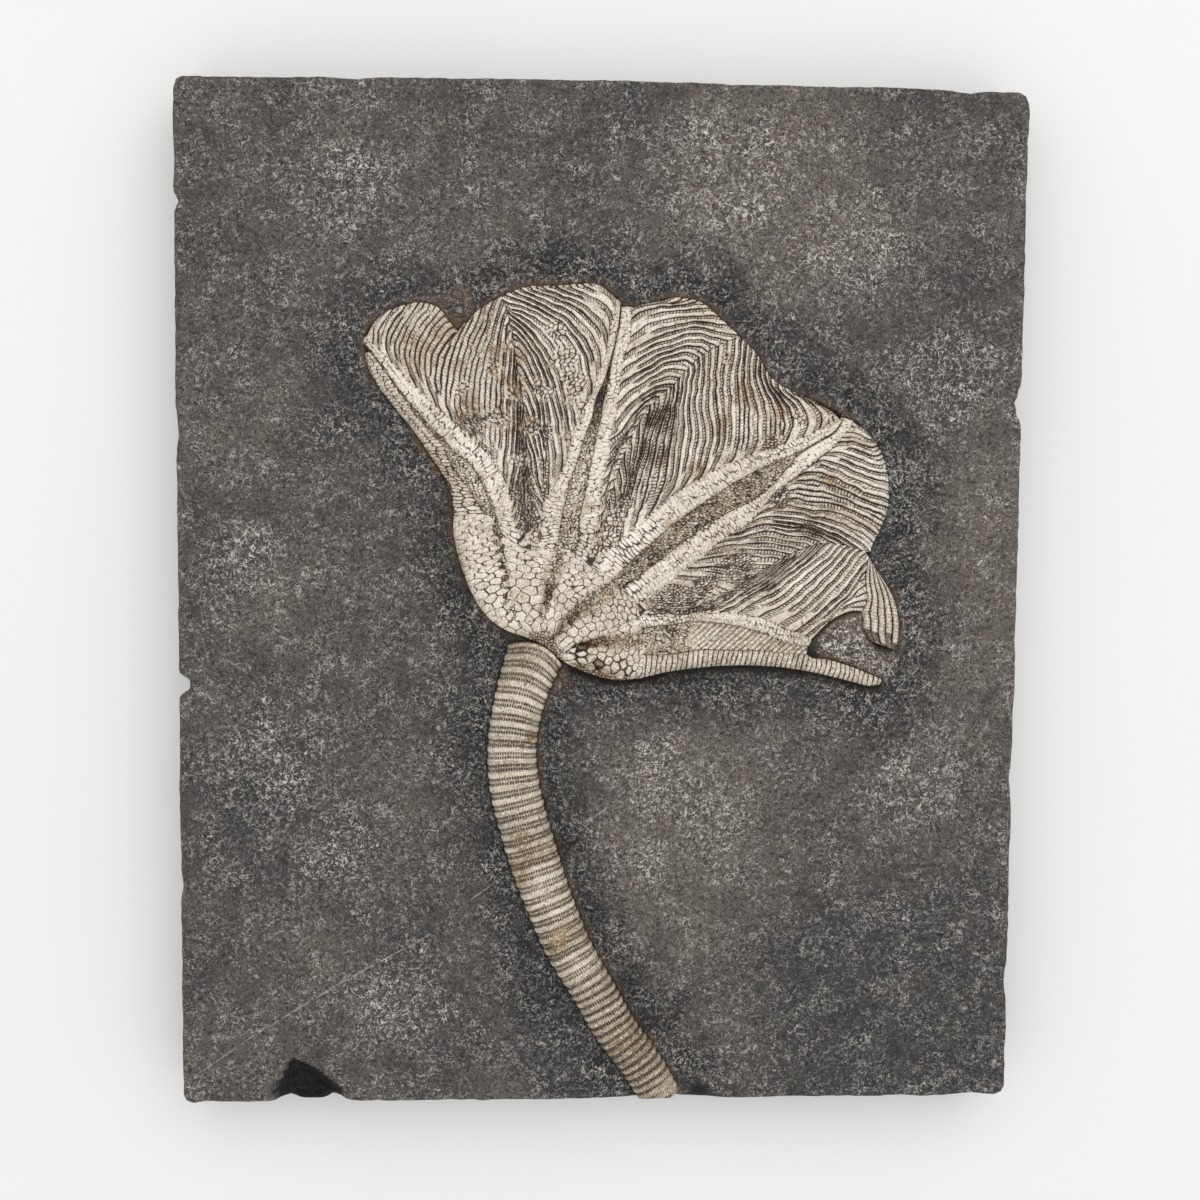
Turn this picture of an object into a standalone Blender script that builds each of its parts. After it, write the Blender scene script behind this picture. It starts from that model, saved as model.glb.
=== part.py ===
"""A crinoid fossil, lying in low relief in its dark shale slab.

The slab lies flat: +Z is up, +Y points from the end of the column to the crown, and the origin is the
middle of the underside. Every length below is in millimetres; MM turns it into metres at the very end.

The crown is laid out like a map. OUTLINE is its rim. Each WEB is the strip of skin between two rays: a
centre line with a width. Each FORK is the seam between the two arms of one ray. CUP_TOP is the line
where the arms leave the cup. An arm is a smooth sheet between its web edge and its fork seam: first
across the round trunk, then out along the armlets, whose guides are given by hand.
"""

import math

import bmesh
import bpy
import numpy as np
from mathutils import Vector
from mathutils.geometry import delaunay_2d_cdt

# ------------------------------------------------------------------ driving dimensions
MM = 0.001
SLAB_WIDTH = 206.5
SLAB_LENGTH = 250.0
SLAB_THICKNESS = 18.0
TOP_EDGE_BOW = 1.0            # the upper edge is sawn a little convex
SLAB_CORNER_RADIUS = 2.5
SLAB_EDGE_WEAR = 0.7
POCKET_FLOOR = 12.0           # the fossil's pieces stand in a pocket with this floor
CLEARANCE = 0.3               # between touching pieces
CHORD_ALLOWANCE = 0.3         # what flat facets may stray from a curved rim
SCRAPED_DEPTH = 2.0           # the rock is scraped down around the fossil
SCRAPED_REACH = 11.0
SCRAPED_RINGS = ((-1.5, 20.0), (3.0, 13.0), (7.0, 20.0), (SCRAPED_REACH, 24.0))   # distance out, spacing
SLAB_EDGE_SPACING = 25.0
POCKET_POINT_SPACING = 11.0

RIM_LEVEL = 17.1              # height of the crown's skin far from the cup
CUP_RISE = 3.3                # the cup swells this much above it
CUP_SPREAD = 27.0
CUP_MIDDLE = (-13.0, 4.0)
RIM_ROUNDING = 0.9            # the skin turns down this much at the rim
RIM_ROUNDING_REACH = 1.3
TRUNK_HEIGHT = 2.3            # an arm's round trunk at the cup, above the skin
TRUNK_TIP_HEIGHT = 0.9
TRUNK_TAPER = 1.3             # the power by which it comes down
TRUNK_FOOT = 0.35             # the armlets leave the trunk at this part of its height
ARMLET_HEIGHT = 0.45          # half the height of an armlet's ridge
GRAIN_HEIGHT = 0.16           # the plated skin's bumps
PLATE_HEIGHT = 0.12           # the courses of plates on the cup and the bare arms
WEB_SINK = 0.3                # the webs lie this much below the skin's level

STEM_RISE = 4.9               # crest of the column above its edges
STEM_EDGE_LEVEL = 15.6
STEM_BAND_PITCH = 3.0         # one raised nodal and the thin columnals to the next
STEM_BAND_HEIGHT = 0.28
STEM_RING_BOW = 0.3           # each ring bows a little towards the crown
STEM_END_BOW = 2.6            # and the upper end much more: a disc seen a little from above
STEM_END_BOW_REACH = 12.0
STEM_WORN = 0.25              # the last rings at the slab's edge are worn down by this much
STEM_WORN_REACH = 2.5
STEM_ROUNDNESS = 0.8          # below 1 the crest is flatter than half an ellipse

# ------------------------------------------------------------------ the crown's map, clockwise from the cup
OUTLINE = (
    (-24, -6.5), (-27.5, -4), (-31, 0.5), (-33.5, 6), (-35.5, 12), (-36.5, 17.5),
    (-36.5, 23), (-38, 29), (-41.5, 34.5), (-46.5, 42), (-51.5, 48), (-55.5, 53.5),
    (-57.5, 58), (-58, 62), (-57, 66), (-54, 69.5), (-49.5, 71.5), (-44.5, 72.5),
    (-40.5, 71.5), (-37.5, 68), (-35, 65.5), (-33.5, 68), (-30.5, 71), (-25.5, 74),
    (-19.5, 76.5), (-12, 77), (-6, 77.5), (-1.5, 77.5), (1.5, 75.5), (4, 72.5),
    (6.5, 72), (12, 73.5), (18.5, 74.5), (23.5, 73.5), (28.5, 69.5), (34, 64.5),
    (37.5, 61), (39.5, 57.5), (41, 55.5), (45.5, 52.5), (51.5, 50), (58, 47),
    (64, 43.5), (68.5, 37.5), (70.5, 30.5), (70.5, 24), (68.5, 18), (66.5, 13),
    (67, 10), (69.5, 6.5), (72.5, 1.5), (74, -4), (74, -9), (73.5, -12),
    (70.5, -12), (67, -9.5), (65, -6), (64.5, -2), (61, -2.5), (56.5, -5),
    (53.5, -8.5), (50.5, -11), (51.5, -13), (56.5, -14), (61.5, -15.5), (66.5, -17.5),
    (70.5, -19.5), (67.5, -20.5), (62.5, -19.5), (56.5, -18), (49, -16.5), (39, -15.5),
    (31.5, -15.5), (24, -16), (16.5, -17), (9.5, -18.5), (3, -19), (-1.5, -18),
    (-6.5, -16), (-10, -14), (-13.5, -11), (-18.5, -8.5),
)
CUP_TOP = (
    (-39, 20.5), (-32, 21.5), (-27.5, 21), (-25, 17.5), (-21.5, 14.5), (-17.5, 13),
    (-14, 13.5), (-10.5, 13.5), (-6.5, 12), (-3, 9), (0, 7.5), (3.5, 5),
    (6.5, 2), (8.5, -1.5), (9.5, -5), (10, -9), (10, -14), (9.5, -20.5),
)
# webs between the rays, from the rim to the cup: x, y, width
WEB_1_2 = (
    (-58.5, 63, 0.3), (-54.5, 58, 0.3), (-50.5, 52.5, 0.3), (-47, 48, 0.4), (-44, 44.5, 0.6),
    (-41.5, 41.5, 0.7), (-39, 39, 1), (-37, 36, 2.2), (-34, 32.5, 3.9), (-31.5, 29, 3.7),
    (-29.5, 25, 2.9), (-27.5, 21.5, 2.5), (-26, 16.5, 2.2),
)
WEB_2_3 = (
    (4, 73, 0.3), (3.5, 67.5, 0.3), (2.5, 62.5, 0.3), (1.5, 58.5, 0.5), (0.5, 54, 1.1), (-1, 49.5, 2),
    (-2, 44.5, 2.2), (-3.5, 39.5, 2.9), (-4.5, 35, 3.2), (-6, 30, 3.9), (-7, 25, 4.2), (-8, 20.5, 4.4),
    (-8.5, 15.5, 4.7), (-10, 11.5, 3.2),
)
WEB_3_4 = (
    (59, 47, 0.3), (57.5, 43, 0.3), (53, 40, 0.4), (48, 37, 0.7), (44.5, 34.5, 2.5), (40.5, 31.5, 4.9),
    (36, 28.5, 5.9), (30, 25, 5.4), (23.5, 21, 4.9), (17.5, 16.5, 4.9), (11.5, 11.5, 4.4),
    (6.5, 7.5, 3.7), (2.5, 4, 2.5), (-1.5, 1.5, 2),
)
WEB_4_5 = (
    (51, -11.7, 2), (45, -11, 2.5), (39, -9.5, 4.7), (31.5, -8.5, 6.4), (24, -8, 7.1), (16.5, -9, 7.4),
    (10, -9.5, 6.4), (4.5, -10.5, 3.9),
)
# seams between the two arms of a ray, from the cup to the rim
FORK_2 = (
    (-17.5, 12.5), (-18, 18), (-18.5, 24), (-18.5, 32.5), (-19, 42), (-20, 51.5),
    (-21.5, 59.5), (-22.5, 66), (-24, 71.5), (-25, 74.5),
)
FORK_3 = (
    (-3.3, 8), (-1, 13.5), (0, 18.5), (1.5, 25), (3.5, 32), (6, 39), (9.5, 45.5), (13.5, 50.5),
    (17.5, 54), (21, 58), (25, 61.5), (29, 63.5), (33.5, 65.5),
)
FORK_4 = (
    (7.5, -2.1), (14, -1.5), (20.5, 0), (26.5, 1.5), (33.5, 4.5), (39, 8), (45, 11.5), (50.5, 14),
    (56.5, 15), (62, 14), (67, 12.5),
)
TIPS_SEAM = ((66.5, 13), (65.5, 9.5), (65, 5.5), (65.5, 1), (64.5, -2))

# armlet guides, from the cup to the arm's tip: where one leaves the trunk, two points it passes, its tip
FAN_2_LEFT = (
    ((-22.5, 24.5), (-21, 33.5), (-20.5, 43), (-20.5, 53)),
    ((-25.5, 32.5), (-24, 43), (-23.5, 55), (-23.5, 69)),
    ((-29.5, 37.5), (-28.5, 48), (-28.5, 58.5), (-27, 73)),
    ((-35, 42.5), (-34, 51), (-34, 60), (-33, 69)),
    ((-38.5, 45.5), (-39, 53.5), (-38, 60), (-35, 65.5)),
    ((-43.5, 50.5), (-45, 57.5), (-44, 63.5), (-40.5, 71.5)),
    ((-50, 56.5), (-51, 61.5), (-50, 66.5), (-47, 72)),
    ((-57.5, 64.5), (-56.5, 66.5), (-55.5, 68), (-54, 69.5)),
)
FAN_2_RIGHT = (
    ((-14.5, 24), (-16.5, 28.5), (-18, 33.5), (-18.5, 37)),
    ((-13.5, 26), (-14, 38.5), (-16, 51), (-21.5, 61)),
    ((-10.5, 32), (-11, 43.5), (-14.5, 55.5), (-23, 67)),
    ((-8, 39.5), (-9, 49.5), (-13, 60), (-24, 71)),
    ((-4.5, 46.5), (-6, 55.5), (-11.5, 65.5), (-24, 72.5)),
    ((-2, 54), (-4, 62.5), (-10, 69), (-22.5, 75.5)),
    ((0.5, 61.5), (-2, 68), (-8, 72), (-18, 76.5)),
    ((1.5, 67.5), (-0.5, 72), (-5, 74.5), (-10.5, 77)),
    ((3, 74), (1.5, 75.5), (-0.5, 77), (-2.5, 77.5)),
)
FAN_3_LEFT = (
    ((-1, 20.5), (0, 21.5), (0.5, 23), (1, 24.5)),
    ((0, 30), (1.5, 32), (2.5, 34), (4.5, 35.5)),
    ((1.5, 38.5), (5, 42.5), (8.5, 46.5), (12.5, 49)),
    ((3.5, 49.5), (8.5, 54), (14.5, 57.5), (20.5, 57.5)),
    ((4.5, 56.5), (11.5, 61.5), (20, 64), (27.5, 63)),
    ((6, 63.5), (12, 67.5), (20, 69), (29, 68.5)),
    ((6.5, 68.5), (12, 71.5), (18.5, 72.5), (24, 73)),
    ((7, 72), (9.5, 73), (12.5, 73.5), (15.5, 74)),
)
FAN_3_RIGHT = (
    ((1, 13), (0.5, 14.5), (0.2, 16), (0, 17.5)),
    ((4.5, 16), (6, 25.5), (9, 35), (12.5, 49)),
    ((10, 21), (13.5, 30), (15.5, 40.5), (17.5, 54)),
    ((16, 26), (20, 35), (20.5, 46), (21.5, 58.5)),
    ((23.5, 31), (26.5, 39), (26, 49.5), (26, 62)),
    ((29, 33.5), (31.5, 42.5), (31.5, 53.5), (32.5, 65)),
    ((35.5, 36.5), (37.5, 44), (35.5, 53.5), (36, 62.5)),
    ((41, 38), (43, 45), (40, 52.5), (39, 58.5)),
    ((47, 40), (48, 46.5), (45, 50.5), (43, 54)),
    ((52.5, 42.5), (53, 47), (50, 49.5), (47.5, 51.5)),
    ((58, 45.5), (56, 47.5), (54, 48.5), (51.5, 49.5)),
)
FAN_4_LEFT = (
    ((13, 2.5), (14.5, 1.5), (16.5, 0.5), (19, -0.5)),
    ((21.5, 9.5), (27.5, 9.5), (33.5, 9), (40, 8.5)),
    ((29, 15), (37.5, 17), (46, 17), (54, 14.5)),
    ((34, 19), (44.5, 21.5), (57, 19), (66.5, 13)),
    ((38.5, 22.5), (48.5, 24.5), (59.5, 22.5), (68.5, 18)),
    ((42, 26.5), (50.5, 29.5), (60.5, 26.5), (70.5, 23)),
    ((47, 31), (54.5, 34), (61.5, 31), (70.5, 28)),
    ((52.5, 35.5), (58, 36.5), (64, 34.5), (69.5, 33.5)),
    ((57, 39), (61.5, 39.5), (65, 38.5), (67.5, 38.5)),
    ((61.5, 45), (63, 44), (64.5, 43), (66, 41)),
)
FAN_4_RIGHT = (
    ((16.5, -2.5), (19, -1.8), (21.5, -1), (24, 0.7)),
    ((24, -2), (31, 0.8), (38, 5.2), (46, 12)),
    ((32.5, -2), (40.5, 2.5), (48, 8), (56, 15)),
    ((39.5, -3.5), (47.5, 1), (54, 6.5), (61, 14)),
    ((45, -5.5), (52.5, -1), (58.5, 5), (65, 13)),
    ((49.5, -7.5), (55.5, -3), (61.5, 3), (65.5, 8)),
    ((52, -9), (55, -6), (59.5, -2.8), (64, -1.8)),
)
RIM_AT_ARM_1_TIP = (-58, 60)
WEB_AT_ARM_1_TIP = (-56.8, 60.8)
RIM_AT_GAP_CORNER = (51.5, -13)
RIM_AT_ARM_5_TIP = (69.5, -19.3)
RIM_UNDER_ARM_5_TIP = (69.3, -20.3)
RIM_BELOW_FAN_4 = (50.5, -11)
RIM_BELOW_TIPS_SEAM = (65, -4)
TIPS_TOP_LEFT = (66.3, 11.2)
TIPS_TOP_RIGHT = (68, 8.5)
TIPS_BOTTOM_LEFT = (67, -9.3)
TIPS_BOTTOM_RIGHT = (73.4, -11.7)

# the column's centre line from the crown to the slab's edge: x, y, width
STEM = (
    (-16.5, -13, 14), (-18.5, -18.5, 13), (-20.5, -25.5, 12.3), (-22, -35, 12), (-21.5, -45, 12.3),
    (-19, -55.5, 12.3), (-16, -65.5, 12.3), (-12, -76.5, 11.8), (-7.5, -87, 11.3), (-2, -96.5, 10.8),
    (4, -107, 10.6), (10.5, -116, 10.3), (16.5, -126, 10.1),
)
# the big chip on the lower edge: x, y and how deep it goes
CHIP = ((-76.5, -113, 0), (-79, -127, 5), (-65, -127, 7), (-64, -121.5, 2.5), (-69.5, -117.5, 1.5))


# ------------------------------------------------------------------ lines on the map
def flow(points, step=0.3, closed=False):
    """A smooth line through the points: Hermite pieces whose tangents are the average slopes at each
    point, weighted by the chords, sampled about every step. Extra columns, such as a width, ride along."""
    p = np.array(points, dtype=float)
    if closed:
        p = np.vstack((p[-2:], p, p[:3]))
    chord = np.hypot(*(p[1:, :2] - p[:-1, :2]).T)
    slope = (p[1:] - p[:-1]) / chord[:, None]
    inner = (slope[:-1] * chord[1:, None] + slope[1:] * chord[:-1, None]) / (chord[1:] + chord[:-1])[:, None]
    tangent = np.vstack((slope[:1], inner, slope[-1:]))
    pieces = range(2, len(p) - 3) if closed else range(len(p) - 1)
    parts = []
    for k in pieces:
        t = np.linspace(0, 1, max(2, math.ceil(chord[k] / step)) + 1)[:-1, None]
        parts.append((2 * t**3 - 3 * t**2 + 1) * p[k] + (t**3 - 2 * t**2 + t) * chord[k] * tangent[k]
                     + (3 * t**2 - 2 * t**3) * p[k + 1] + (t**3 - t**2) * chord[k] * tangent[k + 1])
    end = p[2] if closed else p[-1]
    return np.vstack(parts + [end[None]])


def lengths(path):
    """Distance along the path to each of its points."""
    return np.concatenate(([0.0], np.cumsum(np.hypot(*np.diff(path[:, :2], axis=0).T))))


def along(path, where):
    """The path's points at the distances where."""
    s = lengths(path)
    return np.stack([np.interp(where, s, path[:, k]) for k in range(2)], axis=-1)


def place_on(path, points):
    """Distance along the path to its point nearest each given point."""
    p = np.atleast_2d(np.array(points, dtype=float))[:, :2]
    apart = np.hypot(p[:, None, 0] - path[None, :, 0], p[:, None, 1] - path[None, :, 1])
    return lengths(path)[apart.argmin(axis=1)]


def beside(path, offset):
    """The path moved to its left by offset, a number or one number for each point."""
    run = np.gradient(path[:, :2], axis=0)
    run /= np.hypot(run[:, 0], run[:, 1])[:, None]
    left = np.stack((-run[:, 1], run[:, 0]), axis=1)
    return path[:, :2] + left * np.reshape(offset, (-1, 1))


def web_edge(web, side, inset=0.0):
    """One edge of a web: its centre line moved to one side by half its width, less the inset."""
    return beside(web, side * np.maximum(web[:, 2] / 2 - inset, 0.02))


def stretch(path, start, end):
    """The part of the path between the places nearest two points, run from start to end. On a closed
    rim it takes the way round that the shorter run gives."""
    a, b = place_on(path, (start, end))
    total = lengths(path)[-1]
    closed = np.allclose(path[0, :2], path[-1, :2])
    if closed and abs(b - a) > total / 2:
        b += total if b < a else -total
    where = np.linspace(a, b, max(2, math.ceil(abs(b - a) / 0.3)) + 1)
    return along(path, np.mod(where, total) if closed else where)


def meet(path, other):
    """The point of the path that is nearest to the other path."""
    apart = np.hypot(path[:, None, 0] - other[None, :, 0], path[:, None, 1] - other[None, :, 1])
    return path[np.unravel_index(apart.argmin(), apart.shape)[0], :2]


def glide(values, where):
    """Smooth curve through equally spaced values (Catmull-Rom), read at the places where."""
    v = np.array(values, dtype=float)
    v = np.concatenate((2 * v[:1] - v[1:2], v, 2 * v[-1:] - v[-2:-1]))
    k = np.clip(np.floor(where).astype(int), 0, len(v) - 4)
    t = (where - k).reshape((-1,) + (1,) * (v.ndim - 1))
    a, b, c, d = v[k], v[k + 1], v[k + 2], v[k + 3]
    return b + 0.5 * t * (c - a + t * (2 * a - 5 * b + 4 * c - d + t * (3 * (b - c) + d - a)))


def distance_to(path, x, y):
    """Distance from each (x, y) to the path's nearest point."""
    flat = np.stack((np.ravel(x), np.ravel(y)), axis=1)
    best = np.full(len(flat), 1e9)
    for block in np.array_split(path[:, :2], max(1, len(path) // 200)):
        apart = np.hypot(flat[:, None, 0] - block[None, :, 0], flat[:, None, 1] - block[None, :, 1])
        best = np.minimum(best, apart.min(axis=1))
    return best.reshape(np.shape(x))


# ------------------------------------------------------------------ shared lines and heights
RIM = flow(OUTLINE, closed=True)
CUP_LINE = flow(CUP_TOP)
WEBS = {"1_2": flow(WEB_1_2), "2_3": flow(WEB_2_3), "3_4": flow(WEB_3_4), "4_5": flow(WEB_4_5)}
FORKS = {2: flow(FORK_2), 3: flow(FORK_3), 4: flow(FORK_4)}
CORNER_GAP = 2                # points of a line left out where it turns a corner into the next one
SEAM_END_GAP = 6
TIPS_LINE = flow(TIPS_SEAM)
STEM_LINE = flow(STEM)
CUP_GAP = CLEARANCE + 0.1
CUP_LINE_END = 40             # this many points of the line hold its crossing of the rim
ABOVE_CUP = beside(CUP_LINE, CUP_GAP / 2)
BELOW_CUP = beside(CUP_LINE, -CUP_GAP / 2)


def skin_level(x, y):
    """Height of the crown's skin: a swell over the cup that fades with distance, turned down at the rim."""
    away = np.hypot(x - CUP_MIDDLE[0], y - CUP_MIDDLE[1]) / CUP_SPREAD
    rim = np.exp(-distance_to(RIM, x, y) / RIM_ROUNDING_REACH)
    return RIM_LEVEL + CUP_RISE * np.exp(-away**2) - RIM_ROUNDING * rim


def with_heights(xy, lift):
    """Points on the skin, lifted."""
    z = skin_level(xy[..., 0], xy[..., 1]) + lift
    return np.concatenate((xy, z[..., None]), axis=-1)


# ------------------------------------------------------------------ from points to solids
def material(name, colour, roughness):
    """A plain Principled material."""
    made = bpy.data.materials.new(name)
    made.use_nodes = True
    shader = made.node_tree.nodes["Principled BSDF"]
    shader.inputs["Base Color"].default_value = (*colour, 1.0)
    shader.inputs["Roughness"].default_value = roughness
    shader.inputs["Metallic"].default_value = 0.0
    made.diffuse_color = (*colour, 1.0)
    return made


def put(name, vertices, faces, finish):
    """A mesh object from points in millimetres, moved so that the slab's underside is centred."""
    middle = np.array((0.0, TOP_EDGE_BOW / 2, 0.0))
    mesh = bpy.data.meshes.new(name)
    mesh.from_pydata(((np.array(vertices) - middle) * MM).tolist(), [], faces)
    mesh.materials.append(finish)
    mesh.validate()
    made = bpy.data.objects.new(name, mesh)
    bpy.context.scene.collection.objects.link(made)
    shape = bmesh.new()
    shape.from_mesh(mesh)
    bmesh.ops.recalc_face_normals(shape, faces=shape.faces)
    shape.to_mesh(mesh)
    shape.free()
    return made


def embedded(name, top, finish):
    """A closed body: the grid of top points, walls straight down from its border, a flat underside."""
    rows, columns = top.shape[:2]
    index = np.arange(rows * columns).reshape(rows, columns)
    faces = np.stack((index[:-1, :-1], index[1:, :-1], index[1:, 1:], index[:-1, 1:]), axis=-1)
    border = np.concatenate((index[0, :-1], index[:-1, -1], index[-1, :0:-1], index[:0:-1, 0]))
    vertices = top.reshape(-1, 3)
    foot = vertices[border].copy()
    foot[:, 2] = POCKET_FLOOR + CLEARANCE
    below = len(vertices) + np.arange(len(border))
    walls = np.stack((border, np.roll(border, -1), np.roll(below, -1), below), axis=-1)
    all_faces = faces.reshape(-1, 4).tolist() + walls.tolist() + [below.tolist()]
    return put(name, np.vstack((vertices, foot)), all_faces, finish)


# ------------------------------------------------------------------ arms
TRUNK_STEPS = np.array((0.0, 0.25, 0.7))             # across the trunk, from the web to the armlets
FAN_STEPS = np.array((0.0, 0.15, 0.42, 0.7, 1.0))
CUP_PLACES = np.array((0.78, 0.86, 0.93, 1.0))       # the guide points of the column along the cup


def arm_map(web_side, seam, guides, columns):
    """The arm's sheet as a function of two parameters: along the arm, u, and across it. For each u the
    sheet crosses the trunk in a straight line from the web edge to the armlets' start, then follows a
    cubic through the armlet's four guide points. The first column lies along the cup's top."""
    cup_a = place_on(ABOVE_CUP, meet(ABOVE_CUP, web_side))[0]
    cup_b = place_on(ABOVE_CUP, meet(ABOVE_CUP, seam))[0]
    first = along(ABOVE_CUP, cup_a + (cup_b - cup_a) * CUP_PLACES)
    guide = np.concatenate((first[None], np.array(guides)))
    outer = np.concatenate((place_on(web_side, along(ABOVE_CUP, cup_a)), place_on(web_side, guide[1:, 0])))
    tips = place_on(seam, guide[:, 3])
    fine = np.linspace(0, len(guide) - 1, 40 * len(guide))
    middle = glide((guide[:, 0] + guide[:, 1] + guide[:, 2]) / 3, fine)
    u = np.interp(np.linspace(0, 1, columns) * lengths(middle)[-1], lengths(middle), fine)
    whole = np.arange(len(guide))
    u[np.abs(u[:, None] - whole).argmin(axis=0)] = whole
    rim_side = along(web_side, glide(outer, u))
    start, near, far = (glide(guide[:, k], u) for k in range(3))
    tip = along(seam, glide(tips, u))
    return rim_side, start, near, far, tip


def arm_grid(lines, trunk_steps, fan_steps):
    """Points of the sheet: rows across the trunk, then rows along the armlets."""
    rim_side, start, near, far, tip = lines
    rows = [rim_side + (start - rim_side) * t for t in trunk_steps]
    for v in fan_steps:
        a = -4.5 * (v - 1 / 3) * (v - 2 / 3) * (v - 1)
        b = 13.5 * v * (v - 2 / 3) * (v - 1)
        c = -13.5 * v * (v - 1 / 3) * (v - 1)
        d = 4.5 * v * (v - 1 / 3) * (v - 2 / 3)
        rows.append(a * start + b * near + c * far + d * tip)
    return np.stack(rows)


def trunk_lift(columns):
    """The trunk's crest: high at the cup, lower at the arm's tip."""
    return TRUNK_TIP_HEIGHT + (TRUNK_HEIGHT - TRUNK_TIP_HEIGHT) * np.linspace(1, 0, columns) ** TRUNK_TAPER


def arm(name, web_side, seam, guides, armlets, finish):
    """An arm with its fan of armlets, each armlet a ridge between two furrows."""
    columns = 2 * armlets + 1
    xy = arm_grid(arm_map(web_side, seam, guides, columns), TRUNK_STEPS, FAN_STEPS)
    crest = trunk_lift(columns)
    ridge = np.where(np.arange(columns) % 2 == 1, ARMLET_HEIGHT, -ARMLET_HEIGHT)
    across = np.concatenate((TRUNK_STEPS, np.ones(len(FAN_STEPS))))
    round_trunk = np.sqrt(np.clip(4 * across * (1 - across), 0, 1))[:, None] * crest
    fade = np.concatenate((np.zeros(len(TRUNK_STEPS)), np.clip(FAN_STEPS * 6, 0, 1)))[:, None]
    lift = round_trunk + fade * ridge
    lift[len(TRUNK_STEPS)] += TRUNK_FOOT * crest
    return embedded(name, with_heights(xy, lift), finish)


def ruled(one_side, other_side, across, steps):
    """Points of the straight-ruled sheet between two lines, each line divided evenly."""
    a = along(one_side, np.linspace(0, lengths(one_side)[-1], steps))
    b = along(other_side, np.linspace(0, lengths(other_side)[-1], steps))
    return a[None] + (b - a)[None] * across[:, None, None]


def bare_arm(name, one_side, other_side, rings, finish):
    """An arm without a fan: a round trunk between two lines, ringed by its plates."""
    across = np.array((0.0, 0.15, 0.5, 0.85, 1.0))
    ring = np.where(np.arange(rings) % 2 == 1, PLATE_HEIGHT, -PLATE_HEIGHT)
    profile = np.sqrt(4 * across * (1 - across))[:, None]
    xy = ruled(one_side, other_side, across, rings)
    return embedded(name, with_heights(xy, profile * (trunk_lift(rings) + ring)), finish)


def loose_armlets(name, one_side, other_side, armlets, steps, finish):
    """A bundle of armlets side by side between two lines."""
    across = np.linspace(0, 1, 2 * armlets + 1)
    ridge = np.where(np.arange(len(across)) % 2 == 1, ARMLET_HEIGHT, -ARMLET_HEIGHT)
    xy = ruled(one_side, other_side, across, steps)
    return embedded(name, with_heights(xy, np.repeat(ridge[:, None], steps, axis=1)), finish)


def web(name, line, steps, finish):
    """Plated skin between two rays: a strip as wide as the web, its grains raised in turn."""
    left, right = (web_edge(line, side, CLEARANCE) for side in (-1, 1))
    sides = []
    for edge in (left, right):
        cup_end = place_on(edge, meet(edge, ABOVE_CUP))[0]
        wide = lengths(edge)[np.argmax(line[:, 2] > 2 * CLEARANCE + 0.5)]
        sides.append(along(edge, np.linspace(wide, cup_end, steps)))
    across = np.linspace(0, 1, 4)
    xy = sides[0][None] + (sides[1] - sides[0])[None] * across[:, None, None]
    grain = GRAIN_HEIGHT * np.where(np.add.outer(np.arange(4), np.arange(steps)) % 2 == 1, 1, -1)
    return embedded(name, with_heights(xy, grain - WEB_SINK), finish)


# ------------------------------------------------------------------ cup
RAYS_AND_VALLEYS = (0.07, 0.17, 0.31, 0.44, 0.545, 0.665, 0.775, 0.88, 0.955)   # in turn, left to right
CUP_COLUMNS = 28
CUP_ROWS = 11


def cup(finish):
    """The cup: a patch blended from its four edges (Coons), with a low ridge of plates to each ray."""
    base_left, base_right = OUTLINE[0], OUTLINE[-3]
    low = stretch(RIM, base_left, base_right)
    left_end, right_end = (meet(RIM, end) for end in (BELOW_CUP[:CUP_LINE_END], BELOW_CUP[-CUP_LINE_END:]))
    left = stretch(RIM, base_left, left_end)
    right = stretch(RIM, base_right, right_end)
    high = stretch(BELOW_CUP, left_end, right_end)
    u = np.linspace(0, 1, CUP_COLUMNS)
    v = np.linspace(0, 1, CUP_ROWS)
    edges = [along(edge, t * lengths(edge)[-1]) for edge, t in ((low, u), (high, u), (left, v), (right, v))]
    bottom, top, start, end = edges
    uu, vv = u[None, :, None], v[:, None, None]
    xy = ((1 - vv) * bottom[None] + vv * top[None] + (1 - uu) * start[:, None] + uu * end[:, None]
          - (1 - uu) * (1 - vv) * bottom[0] - uu * (1 - vv) * bottom[-1]
          - (1 - uu) * vv * top[0] - uu * vv * top[-1])
    ridge = 0.5 + 0.5 * np.cos(math.pi * np.interp(u, RAYS_AND_VALLEYS, range(len(RAYS_AND_VALLEYS))))
    course = np.where(np.arange(CUP_ROWS) % 2 == 1, PLATE_HEIGHT, -PLATE_HEIGHT)
    lift = TRUNK_HEIGHT * (0.25 + 0.75 * v[:, None]) * ridge[None] + course[:, None]
    lift *= np.clip(6 * v, 0, 1)[:, None]
    return embedded("cup", with_heights(xy, lift), finish)


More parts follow.
